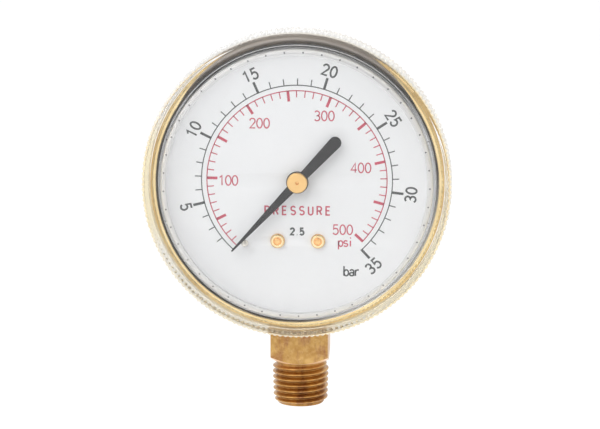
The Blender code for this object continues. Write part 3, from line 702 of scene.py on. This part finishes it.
def lug_outline(inner, outer, angle):
    outline = arc(inner, angle - LUG_HALF_ANGLE, angle + LUG_HALF_ANGLE, 12)
    return outline + arc(outer, angle + LUG_HALF_ANGLE, angle - LUG_HALF_ANGLE, 12)


def make_case():
    low, high = face_box("case")
    back, front = low.z, high.z
    inside = back + CASE_WALL
    bead_radius = (BEAD_OUTER - CASE_INNER) / 2
    bead = CASE_INNER + bead_radius
    bead_middle = front - bead_radius
    bead_end = bead_middle - 1.15
    corner = CASE_CORNER - CASE_WALL
    # Rings just inside the rounded corners keep the shading of the flat back even.
    flat = CASE_OUTER - CASE_CORNER - 0.5
    profile = filleted([(0, inside, 0), (CASE_INNER, inside, corner), (CASE_INNER, bead_middle, 0)], steps=8)
    profile.insert(1, (flat, inside))
    profile += arc(bead_radius, 180, -75, 28, (bead, bead_middle))[1:]
    profile += filleted([(CASE_OUTER, bead_end, 0), (CASE_OUTER, back, CASE_CORNER), (0, back, 0)], steps=10)
    profile.insert(-1, (flat, back))
    case = piece("case_shell", lathe(profile, ROUND), None, "case_brass")
    outlines = [lug_outline(CASE_LUG_INNER, reach("case"), angle) for angle in LUG_ANGLES]
    cut(case, slab(outlines, bead_middle - 0.5, bead_middle + 0.6, 0.15), FACE, "UNION")
    half = NECK / 2 + 0.25
    cut(case, box_work((-half, -38, -half), (half, -29, half)), FACE)
    holes = []
    for name, radius in CASE_HOLES.items():
        x, y = middle(name).xy
        holes.append(rod_work((x, y, back - 1), (x, y, back + 2), radius))
    cut(case, joined(holes), FACE)
    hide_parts("case")
    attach(case, "case")


def joined(works):
    """One bmesh from several."""
    whole = works[0]
    for other in works[1:]:
        mesh = plain_mesh(other, "part")
        whole.from_mesh(mesh)
        bpy.data.meshes.remove(mesh)
    return whole


def rod_work(start, end, radius, steps=SMALL_ROUND):
    """A cylinder between two points."""
    work = bmesh.new()
    along = Vector(end) - Vector(start)
    spin = along.to_track_quat("Z", "Y").to_matrix().to_4x4()
    lay = Matrix.Translation((Vector(start) + Vector(end)) / 2) @ spin
    bmesh.ops.create_cone(
        work, cap_ends=True, segments=steps, radius1=radius, radius2=radius, depth=along.length, matrix=lay
    )
    return work


def make_plug():
    low, high = face_box("relief_plug")
    back = low.z
    lip = back + 0.9
    hole = RELIEF_HOLE
    groove = hole - 0.12
    corners = [
        (0, high.z, 0), (hole - 0.5, high.z, 0.3), (hole + 0.25, lip + 1.05, 0.15), (groove, lip + 0.7, 0.1),
        (groove, lip, 0.05), (hole + 1.2, lip, 0.1), (hole + 1.0, back, 0.35), (2.6, back, 0.2),
        (2.3, back + 0.35, 0.2), (0, back + 0.35, 0),
    ]
    work = lathe(filleted(corners), 96, centre=middle("relief_plug").xy)
    piece("relief_plug_moulded", work, "case", "plug_rubber", ["relief_plug"])


def slotted_screw(node, head_height, shank, facing):
    """A screw whose slotted head has turned edges; facing is 1 towards the reader and -1 towards the back."""
    low, high = face_box(node)
    head = reach(node)
    at = middle(node)
    top, tip = (high.z, low.z) if facing > 0 else (low.z, high.z)
    seat = top - facing * head_height
    corners = [
        (0, top, 0), (head - 0.12, top, 0.1), (head, top - facing * 0.14, 0.08), (head, seat, 0.04),
        (shank, seat, 0.06), (shank, tip + facing * 0.25, 0.05), (shank - 0.22, tip, 0.05), (0, tip, 0),
    ]
    profile = filleted(corners, steps=3)
    if facing < 0:
        profile = profile[::-1]
    work = lathe(profile, SMALL_ROUND, centre=at.xy)
    screw = piece(node + "_turned", work, None, "screw_brass")
    depth = top - facing * 0.45 * head_height
    bottom, above = sorted((depth, top + facing))
    wide = head + 1
    slot = box_work((at.x - wide, at.y - 0.2, bottom), (at.x + wide, at.y + 0.2, above))
    cut(screw, slot, FACE)
    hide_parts(node)
    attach(screw, "case")


# ---- Dial and its print ----

PRINT_CENTRE = (-0.23, 0.18)
ZERO_ANGLE = 234.3
DEGREES_PER_BAR = 8.04
PSI_PER_BAR = 14.504
ARC_START = 228.5
BAR_END = 35
PSI_END = 500
FINE = 0.25               # width of the scales' thin lines
PSI_NUMBERS = {
    "100": (-16.62, 0.0), "200": (-9.1, 13.85), "300": (6.3, 15.7), "400": (15.05, 3.3),
    "500": (10.75, -11.7),
}


def bow(x, y, across, up, start, end, count=16):
    """Points on part of an ellipse."""
    step = (end - start) / (count - 1)
    turns = [math.radians(start + step * i) for i in range(count)]
    return [(x + across * math.cos(turn), y + up * math.sin(turn)) for turn in turns]


BOWL = [(0.02, 0.0), (0.02, 1.0), (0.28, 1.0)] + bow(0.28, 0.74, 0.25, 0.26, 84, -84)
BOWL += [(0.28, 0.48), (0.02, 0.48)]
LOOP = bow(0.28, 0.31, 0.23, 0.31, 0, 360, 25)
# Each glyph is its strokes' centre lines, 1 high where it is a digit or a capital.
GLYPHS = {
    "0": [bow(0.28, 0.5, 0.28, 0.5, 0, 360, 33)],
    "1": [[(0.08, 0.80), (0.32, 1.0), (0.32, 0.0)]],
    "2": [bow(0.28, 0.73, 0.27, 0.27, 172, -28) + [(0.02, 0.0), (0.56, 0.0)]],
    "3": [bow(0.26, 0.755, 0.245, 0.245, 150, -90) + bow(0.26, 0.265, 0.28, 0.265, 84, -150)],
    "4": [[(0.42, 0.0), (0.42, 1.0), (0.0, 0.27), (0.58, 0.27)]],
    "5": [[(0.51, 1.0), (0.10, 1.0), (0.06, 0.55)] + bow(0.26, 0.32, 0.28, 0.32, 128, -150)],
    ".": [[(0.25, 0.0), (0.31, 0.0)]],
    "P": [BOWL],
    "R": [BOWL, [(0.28, 0.48), (0.54, 0.0)]],
    "E": [[(0.50, 1.0), (0.04, 1.0), (0.04, 0.0), (0.50, 0.0)], [(0.04, 0.52), (0.44, 0.52)]],
    "S": [bow(0.27, 0.75, 0.25, 0.25, 25, 270) + bow(0.27, 0.25, 0.26, 0.25, 84, -155)],
    "U": [[(0.02, 1.0)] + bow(0.28, 0.27, 0.26, 0.27, 180, 360) + [(0.54, 1.0)]],
    "a": [
        bow(0.27, 0.44, 0.19, 0.20, 160, 20, 10) + [(0.46, 0.44), (0.46, 0.0)],
        bow(0.25, 0.18, 0.20, 0.17, 0, 360, 21),
    ],
    "b": [[(0.04, 1.0), (0.04, 0.0)], LOOP],
    "r": [[(0.06, 0.64), (0.06, 0.0)], bow(0.32, 0.36, 0.26, 0.27, 170, 70, 8)],
    "p": [[(0.04, 0.64), (0.04, -0.34)], LOOP],
    "s": [bow(0.25, 0.47, 0.20, 0.16, 30, 270) + bow(0.25, 0.16, 0.21, 0.16, 84, -155)],
    "i": [[(0.18, 0.64), (0.18, 0.0)], [(0.18, 0.88), (0.18, 1.0)]],
}
GLYPH_WIDTH = 0.56


def ribbon(work, points, width, low, high):
    """A flat stroke along points as a closed solid; it is a loop where the ends meet."""
    closed = math.dist(points[0], points[-1]) < 1e-6
    points = [Vector(point) for point in (points[:-1] if closed else points)]
    count = len(points)
    rows = []
    for i, point in enumerate(points):
        before = points[i - 1] if closed or i > 0 else point
        after = points[(i + 1) % count] if closed or i < count - 1 else point
        into = (point - before).normalized() if point != before else (after - point).normalized()
        out = (after - point).normalized() if after != point else into
        across = (into + out).normalized().orthogonal()
        wide = width / 2 / max(0.6, across.dot(into.orthogonal()))
        rows.append([
            work.verts.new((*(point + across * side), height))
            for side, height in ((wide, high), (-wide, high), (-wide, low), (wide, low))
        ])
    pairs = list(zip(rows, rows[1:]))
    if closed:
        pairs.append((rows[-1], rows[0]))
    else:
        work.faces.new(rows[0])
        work.faces.new(rows[-1][::-1])
    for first, second in pairs:
        for i in range(4):
            work.faces.new([first[i], first[(i + 1) % 4], second[(i + 1) % 4], second[i]][::-1])


def write(work, text, centre, height, pitch, stroke, levels, turn=0.0):
    """Strokes of a line of glyphs centred on a point, its base line turned by degrees."""
    scale = height - stroke
    spin = Matrix.Rotation(math.radians(turn), 2)
    for i, glyph in enumerate(text):
        shift = pitch * (i - (len(text) - 1) / 2)
        for line in GLYPHS[glyph]:
            placed = []
            for x, y in line:
                local = Vector((shift + (x - GLYPH_WIDTH / 2) * scale, (y - 0.5) * scale))
                placed.append(tuple(Vector(centre) + spin @ local))
            ribbon(work, placed, stroke, *levels)


def bar_angle(bar):
    return ZERO_ANGLE - DEGREES_PER_BAR * bar


def scale_print(work, line_radius, values, end, levels, long_every, minor, major, thick):
    """An arc with its ticks, which run from its line to the minor or the major radius."""
    ribbon(work, arc(line_radius, ARC_START, bar_angle(end), 180, PRINT_CENTRE), FINE, *levels)
    for value, bar in values:
        tip, width = (major, thick) if value % long_every == 0 else (minor, FINE)
        angle = bar_angle(bar)
        overlap = FINE / 2 if tip < line_radius else -FINE / 2
        ends = [polar(radius, angle, PRINT_CENTRE) for radius in (line_radius + overlap, tip)]
        ribbon(work, ends, width, *levels)


def make_dial():
    low, high = face_box("dial")
    outlines = [ring(reach("dial"), ROUND), ring(1.7, SMALL_ROUND)]
    outlines += [ring(0.95, 40, middle(node).xy) for node in DIAL_SCREWS]
    outlines.append(ring(0.6, 40, middle("stop_pin").xy))
    work = slab(outlines, low.z, high.z, 0.08)
    piece("dial_plate", work, "case", "dial_white", ["dial"])
    levels = (high.z + 0.001, high.z + 0.02)

    black = bmesh.new()
    bars = [(bar, bar) for bar in range(2, BAR_END + 1)]
    scale_print(black, 22.8, bars, BAR_END, levels, long_every=5, minor=24.4, major=25.6, thick=0.6)
    for bar in range(5, BAR_END + 1, 5):
        angle = bar_angle(bar)
        upright = 10 <= bar <= 25
        turn = angle - 90 if upright else angle + 90
        late = 1.2 if bar == BAR_END else 0.0
        place = polar(27.4 + late / 6, angle - late, PRINT_CENTRE)
        write(black, str(bar), place, 2.95, 2.02, 0.44, levels, turn)
    write(black, "bar", (13.0, -21.75), 2.7, 1.35, 0.36, levels)
    write(black, "2.5", (-0.16, -12.25), 2.0, 1.15, 0.44, levels)
    piece("dial_print_black", black, "case", "dial_white", look="ink_black")

    red = bmesh.new()
    pounds = [(psi, psi / PSI_PER_BAR) for psi in range(20, PSI_END + 1, 10)]
    end = PSI_END / PSI_PER_BAR
    scale_print(red, 21.5, pounds, end, levels, long_every=50, minor=19.9, major=19.0, thick=0.65)
    for text, centre in PSI_NUMBERS.items():
        write(red, text, centre, 2.6, 1.6 if text == "100" else 1.68, 0.3, levels)
    write(red, "psi", (11.55, -14.65), 2.5, 1.27, 0.32, levels)
    write(red, "PRESSURE", (-0.04, -7.16), 2.35, 2.08, 0.36, levels)
    piece("dial_print_red", red, "case", "dial_white", look="ink_red")


def make_gasket():
    """A thin rubber ring between the lens's ring and the dial; its black top is painted shade."""
    low = face_box("dial")[1].z + 0.03
    high = low + 0.24
    inner, outer, edge = 32.0, 32.95, 0.05
    corners = [(inner, high, edge), (outer, high, edge), (outer, low, edge), (inner, low, edge)]
    work = lathe(filleted(corners, closed=True), ROUND)
    piece("dial_gasket", work, "case", "plug_rubber", look="gasket_rubber")


def make_dial_screws():
    for node in DIAL_SCREWS:
        low, high = face_box(node)
        top = high.z
        seat = top - 1.0
        head = reach(node)
        corners = [
            (0, top, 0), (0.66, top - 0.05, 0.12), (0.76, top - 0.28, 0.06), (0.92, top - 0.28, 0.06),
            (1.02, top - 0.08, 0.08), (1.4, top - 0.12, 0.12), (head, top - 0.5, 0.2), (head, seat, 0.05),
            (0.65, seat, 0.05), (0.65, low.z, 0.15), (0, low.z, 0),
        ]
        work = lathe(filleted(corners, steps=5), 96, centre=middle(node).xy)
        piece(node + "_headed", work, "case", "screw_brass", [node], look="dial_screw_brass")


def make_stop_pin():
    low, high = face_box("stop_pin")
    seat = face_box("dial")[1].z + 0.05
    behind = face_box("dial")[0].z - 0.05
    corners = [
        (0, high.z, 0), (0.45, high.z, 0.2), (0.45, seat + 0.5, 0.15), (0.85, seat + 0.45, 0.15),
        (0.85, seat, 0.05), (0.5, seat, 0.02), (0.5, behind, 0.02), (0.8, behind, 0.1),
        (0.7, low.z, 0.15), (0, low.z, 0),
    ]
    work = lathe(filleted(corners), 48, centre=middle("stop_pin").xy)
    piece("stop_pin_turned", work, "case", "pin_steel", ["stop_pin"])


# ---- Pointer, hub and pinion ----

REST_ANGLE = 226.9
POINTER_DISC = 2.65
POINTER_LENGTH = 23.1
TAIL_CENTRE = 13.1
TAIL_RADIUS = 1.5
HUB_ROOF = 1.2            # brass left above the end of the arbor


def make_pointer():
    low, high = face_box("pointer")
    point = 0.2
    outline = arc(point, -80, 80, 7, (POINTER_LENGTH - point, 0)) + arc(POINTER_DISC, 24, 156, 28)
    outline += arc(TAIL_RADIUS, 95, 265, 28, (-TAIL_CENTRE, 0)) + arc(POINTER_DISC, 204, 336, 28)
    spin = Matrix.Rotation(math.radians(REST_ANGLE), 2)
    outline = [tuple(spin @ Vector(at)) for at in outline]
    work = slab([outline, ring(1.26, SMALL_ROUND)], low.z, high.z, 0.05)
    piece("pointer_blade", work, "pointer", "pointer_black", ["pointer"])


def make_hub():
    low, high = face_box("pointer_hub")
    under = face_box("pointer")[0].z - 0.05
    over = face_box("pointer")[1].z + 0.05
    wide = reach("pointer_hub")
    top = high.z
    roof = top - HUB_ROOF
    corners = [
        (0, top - 0.8, 0), (0.3, top - 0.7, 0.08), (0.4, top - 0.03, 0.03), (0.45, top, 0.03),
        (wide - 0.2, top, 0.12), (wide, top - 0.22, 0.12), (wide, over, 0.06), (1.2, over, 0.02),
        (1.2, under, 0.02), (1.9, under, 0.05), (1.9, low.z, 0.15), (0.62, low.z, 0.1),
        (0.62, roof, 0.05), (0, roof, 0),
    ]
    work = lathe(filleted(corners), 128)
    piece("pointer_hub_turned", work, "pointer", "screw_brass", ["pointer_hub"], look="hub_brass")


PINION_TEETH = 12
MESH_ANGLE = 290.0        # where the pinion meets the sector


def make_pinion():
    low = face_box("pinion")[0].z
    front = face_box("front_plate")[0].z - 0.05
    back = face_box("back_plate")[1].z + 0.05
    end = face_box("pointer_hub")[1].z - HUB_ROOF - 0.05
    step = 13.0
    corners = [
        (0, end, 0), (0.55, end, 0.08), (0.55, step, 0.03), (0.6, step - 0.1, 0.03), (0.6, front, 0.03),
        (0.8, front, 0.03), (0.8, back, 0.03), (0.6, back, 0.03), (0.6, low, 0.08), (0, low, 0),
    ]
    work = lathe(filleted(corners, steps=3), SMALL_ROUND)
    pinion = piece("pinion_cut", work, None, "pin_steel")
    sector = face_box("sector_gear")
    pitch = 360 / PINION_TEETH
    first = MESH_ANGLE + pitch / 2
    outline = []
    for i in range(PINION_TEETH):
        flank = [(1.2, -0.27), (1.32, -0.24), (1.5, -0.19), (1.68, -0.12), (1.75, -0.06)]
        flank += [(r, -share) for r, share in flank[::-1]]
        outline += [polar(r, first + pitch * (i + share)) for r, share in flank]
    cut(pinion, slab([outline], sector[0].z - 0.4, sector[1].z + 0.4), FACE, "UNION")
    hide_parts("pinion")
    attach(pinion, "pointer")


# ---- Movement: finished edges on the flat parts, hairspring and Bourdon tube ----

def refined(node, body, width):
    """A copy of a CAD node with its flat faces cleaned and its edges broken by a small bevel."""
    work = bmesh.new()
    work.from_mesh(frame["nodes"][node].data)
    bmesh.ops.remove_doubles(work, verts=work.verts, dist=2e-6)
    bmesh.ops.dissolve_limit(work, angle_limit=math.radians(1), verts=work.verts, edges=work.edges)
    bmesh.ops.transform(work, matrix=Matrix.Scale(1 / MM, 4), verts=work.verts)
    edges = [edge for edge in work.edges if edge.is_manifold and edge.calc_face_angle() > math.radians(50)]
    bmesh.ops.bevel(
        work, geom=edges, offset=width, segments=2, profile=0.7, affect="EDGES", clamp_overlap=True
    )
    slot = next(part["material_slot"] for part in frame["record"]["subparts"] if part["node"] == node)
    piece(node + "_finished", work, body, slot, [node], matrix=ROW, sharp=30)


def make_movement():
    for node in ("front_plate", "back_plate", "pillar_left", "pillar_right", "pillar_top", "hairspring_stud"):
        refined(node, "case", 0.06)
    for node in ("sector_gear", "sector_arbor", "link_pin_sector"):
        refined(node, "sector", 0.04)
    refined("link", "link", 0.06)
    refined("tube_tip", "tip", 0.12)
    refined("link_pin_tip", "tip", 0.04)
    refined("hairspring_collet", "pointer", 0.05)
    for name in ("left", "right", "top"):
        slotted_screw("pillar_screw_" + name, 0.55, 0.5, 1)
    for name in ("left", "right"):
        slotted_screw("movement_screw_" + name, 1.0, 0.88, 1)
        slotted_screw("case_screw_" + name, 1.3, 0.88, -1)


def sweep(sections):
    """A closed solid through sections; each is an outer loop of points and, if hollow, an inner one."""
    work = bmesh.new()
    rows = [[[work.verts.new(point) for point in loop] for loop in section] for section in sections]
    count = len(rows[0][0])
    strips = [pair for first, second in zip(rows, rows[1:]) for pair in zip(first, second)]
    strips += [row for row in (rows[0], rows[-1]) if len(row) == 2]
    for one, other in strips:
        for i in range(count):
            j = (i + 1) % count
            work.faces.new([one[i], one[j], other[j], other[i]])
    for row in (rows[0], rows[-1]):
        if len(row) == 1:
            work.faces.new(row[0])
    return work


TUBE_RADIUS = 25.0
TUBE_DEPTH = -2.6
TUBE_ANGLES = (262.0, -45.0)
TUBE_HALF_WIDTH = 3.2
TUBE_HALF_THICKNESS = 1.1


def make_tube():
    wall = 0.4
    flat = TUBE_HALF_WIDTH - TUBE_HALF_THICKNESS

    def section(angle, inset):
        r = TUBE_HALF_THICKNESS - inset
        loop = arc(r, 90, -90, 12, (flat, 0)) + arc(r, 270, 90, 12, (-flat, 0))
        return [(*polar(TUBE_RADIUS + across, angle), TUBE_DEPTH + along) for along, across in loop]

    start, end = TUBE_ANGLES
    count = 120
    angles = [start + (end - start) * i / count for i in range(count + 1)]
    work = sweep([(section(angle, 0), section(angle, wall)) for angle in angles])
    tube = piece("bourdon_tube_drawn", work, None, "tube_bronze", ["bourdon_tube"])
    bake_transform(tube)


def make_hairspring():
    turns = 4.5
    inner, outer = 1.9, 5.1
    first, last = 8.0, 8.6
    stud = middle("hairspring_stud")
    stud_angle = math.degrees(math.atan2(stud.y, stud.x))
    count = 420
    sections = []
    for i in range(count + 1):
        share = i / count
        angle = stud_angle - 360 * turns * (1 - share)
        radius = inner + (outer - inner) * share
        height = first + (last - first) * share
        sections.append([[
            (*polar(radius + across, angle), height + up)
            for across, up in ((0.05, 0.11), (0.05, -0.11), (-0.05, -0.11), (-0.05, 0.11))
        ]])
    work = sweep(sections)
    spring = piece("hairspring_rolled", work, None, "spring_bronze", ["hairspring"])
    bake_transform(spring)


# ---- Socket and restrictor, in the row frame ----

NECK = 13.4
NECK_START = 34.0         # below the pointer's axis
BLOCK_TOP = 27.5
THREAD_PITCH = 25.4 / 18
THREAD_TURN = math.radians(5)
BORE = 1.8
BORE_END = 31.0           # below the pointer's axis
SCREW_HOLE = 0.98
SCREW_HOLE_END = 2.8      # behind the stem's axis


def thread_radius(z, turn):
    crest = THREAD_END_RADIUS + z * TAPER
    phase = (z / THREAD_PITCH - (turn - THREAD_TURN) / math.tau) % 1
    ridge = min(1.0, max(0.0, 1.25 * abs(2 * phase - 1) - 0.12))
    ridge = ridge * ridge * (3 - 2 * ridge) * 0.5 + ridge * 0.5
    start = min(1.0, z / 1.1)
    finish = min(1.0, max(0.0, (THREAD_LENGTH - z) / 1.7))
    return crest - THREAD_DEPTH + THREAD_DEPTH * ridge * start * finish


def bevelled(target, width):
    step = target.modifiers.new("edges", "BEVEL")
    step.width = width * MM
    step.segments = 3
    step.limit_method = "ANGLE"
    step.angle_limit = math.radians(28)
    apply_steps(target)


def make_socket():
    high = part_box("socket")[1]
    half = high.x / MM
    neck = NECK / 2
    axis = AXIS.z / MM
    shoulder = THREAD_LENGTH + 0.15
    neck_start = axis - NECK_START
    block_top = axis - BLOCK_TOP

    work = box_work((-half, -half, shoulder), (half, half, neck_start))
    block = piece("socket_body", work, None, "stem_brass", matrix=ROW)
    # A cone round the square block leaves the turned chamfer below its flats.
    wide, flat = 12.5, half - 0.1
    rise = (wide - flat) * math.tan(math.radians(30))
    cone = [(0, block_top), (wide, block_top), (wide, shoulder + rise), (flat, shoulder)]
    cone += [(flat, shoulder - 1), (0, shoulder - 1)]
    cut(block, lathe(cone, 192), ROW, "INTERSECT")
    bevelled(block, 0.16)
    cut(block, box_work((-neck, -neck, neck_start - 1), (neck, neck, block_top)), ROW, "UNION")
    front = -face_box("back_plate")[0].z + 0.3
    tongue = box_work((0.2 - neck, front, block_top - 1), (neck - 0.2, neck, high.z / MM))
    cut(block, tongue, ROW, "UNION")

    rows = 150
    blank = THREAD_END_RADIUS - THREAD_DEPTH
    heights = [THREAD_LENGTH * (1 - i / rows) for i in range(rows + 1)]
    profile = [(0, THREAD_LENGTH + 2), (blank, THREAD_LENGTH + 2)]
    profile += [(blank + 1, height) for height in heights] + [(0, 0)]
    stem = lathe(profile, 144, lambda r, z, turn: (thread_radius(z, turn) if r > blank else r, z))
    cut(block, stem, ROW, "UNION")

    cut(block, rod_work((0, 0, -1), (0, 0, axis - BORE_END), BORE), ROW)
    back = high.y / MM
    for node in ("case_screw_left", "case_screw_right"):
        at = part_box(node)[0].lerp(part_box(node)[1], 0.5) / MM
        hole = rod_work((at.x, back + 1, at.z), (at.x, SCREW_HOLE_END, at.z), SCREW_HOLE, 32)
        cut(block, hole, ROW)
    room = 0.15
    deep = TUBE_HALF_WIDTH + room
    inner = TUBE_RADIUS - TUBE_HALF_THICKNESS - 2 * room
    outer = TUBE_RADIUS + TUBE_HALF_THICKNESS + room
    pocket = box_work((inner, -6, TUBE_DEPTH - deep), (outer, room, TUBE_DEPTH + deep), TUBE_ANGLES[0])
    cut(block, pocket, FACE)
    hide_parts("socket")
    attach(block, "case")
    shade(block.data, 32)


def make_restrictor():
    low, high = [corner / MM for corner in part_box("restrictor")]
    outer = high.x
    corners = [(0.4, high.z, 0.1), (outer, high.z, 0.15), (outer, low.z, 0.15), (0.4, low.z, 0.1)]
    work = lathe(filleted(corners, closed=True), 48)
    jet = piece("restrictor_jet", work, None, "movement_brass", matrix=ROW)
    cut(jet, box_work((-3, -0.25, low.z - 1), (3, 0.25, low.z + 0.6)), ROW)
    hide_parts("restrictor")
    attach(jet, "case")


make_lens()
make_case()
make_plug()
make_dial()
make_gasket()
make_dial_screws()
make_stop_pin()
make_pointer()
make_hub()
make_pinion()
make_movement()
make_tube()
make_hairspring()
make_socket()
make_restrictor()


# ---- Camera, light and floor ----

def aim(thing, at):
    thing.rotation_euler = (Vector(at) - thing.location).to_track_quat("-Z", "Y").to_euler()


def make_camera():
    camera = linked("camera", bpy.data.cameras.new("camera"))
    camera.data.sensor_width = 36
    camera.data.lens = 145.5
    target = AXIS + Vector((0.0005, -0.012, -0.0082))
    side, rise, away = math.radians(3.2), math.radians(10.2), 0.58
    level = math.cos(rise)
    outward = Vector((math.sin(side) * level, -math.cos(side) * level, math.sin(rise)))
    camera.location = target + away * outward
    aim(camera, target)
    bpy.context.scene.camera = camera


def make_lamp():
    lamp = bpy.data.lights.new("key", "AREA")
    lamp.size = 0.9
    lamp.energy = 4.4
    made = linked("key", lamp)
    made.location = (-0.35, -0.6, 0.75)
    aim(made, AXIS)


def card(name, at, to, size, upper, lower, through=True):
    """A shaded board that only gloss and, if through, clear plastic see, like a studio's unlit side."""
    work = bmesh.new()
    bmesh.ops.create_grid(work, x_segments=1, y_segments=1, size=0.5)
    bmesh.ops.scale(work, verts=work.verts, vec=(*size, 1))
    board = linked(name, plain_mesh(work, name))
    n = Nodes(name)
    height = n.plus(n.parts(n.place)[1], n.times(n.noise(8), 0.02))
    n.set(Base_Color=n.patchy(height, lower, upper, -0.4 * size[1], 0.4 * size[1]), Roughness=0.9)
    board.data.materials.append(n.material)
    board.location = at
    aim(board, to)
    board.visible_camera = False
    board.visible_diffuse = False
    board.visible_shadow = False
    board.visible_transmission = through


def make_stage():
    world = bpy.data.worlds.new("studio")
    bpy.context.scene.world = world
    world.use_nodes = True
    background = world.node_tree.nodes["Background"]
    background.inputs["Color"].default_value = rgb(1, 1, 1)
    background.inputs["Strength"].default_value = 1.05
    work = bmesh.new()
    bmesh.ops.create_grid(work, x_segments=1, y_segments=1, size=4)
    floor = linked("floor", plain_mesh(work, "floor"))
    floor.location.z = -0.2
    n = Nodes("floor")
    n.set(Base_Color=n.tint(n.noise(3), rgb(0.98, 0.98, 0.98), rgb(0.96, 0.96, 0.96)), Roughness=0.9)
    floor.data.materials.append(n.material)
    bpy.context.scene.view_settings.view_transform = "Standard"
    make_lamp()
    card("dark_card", (0.0, -0.55, 0.75), AXIS, (0.7, 0.9), rgb(0.10, 0.085, 0.07), rgb(0.09, 0.075, 0.06))
    white, grey = rgb(0.98, 0.98, 0.98), rgb(0.25, 0.25, 0.27)
    card("low_card", (0.0, -0.52, -0.10), (0, 0, -0.10), (0.9, 0.19), white, grey, through=False)


make_camera()
make_stage()
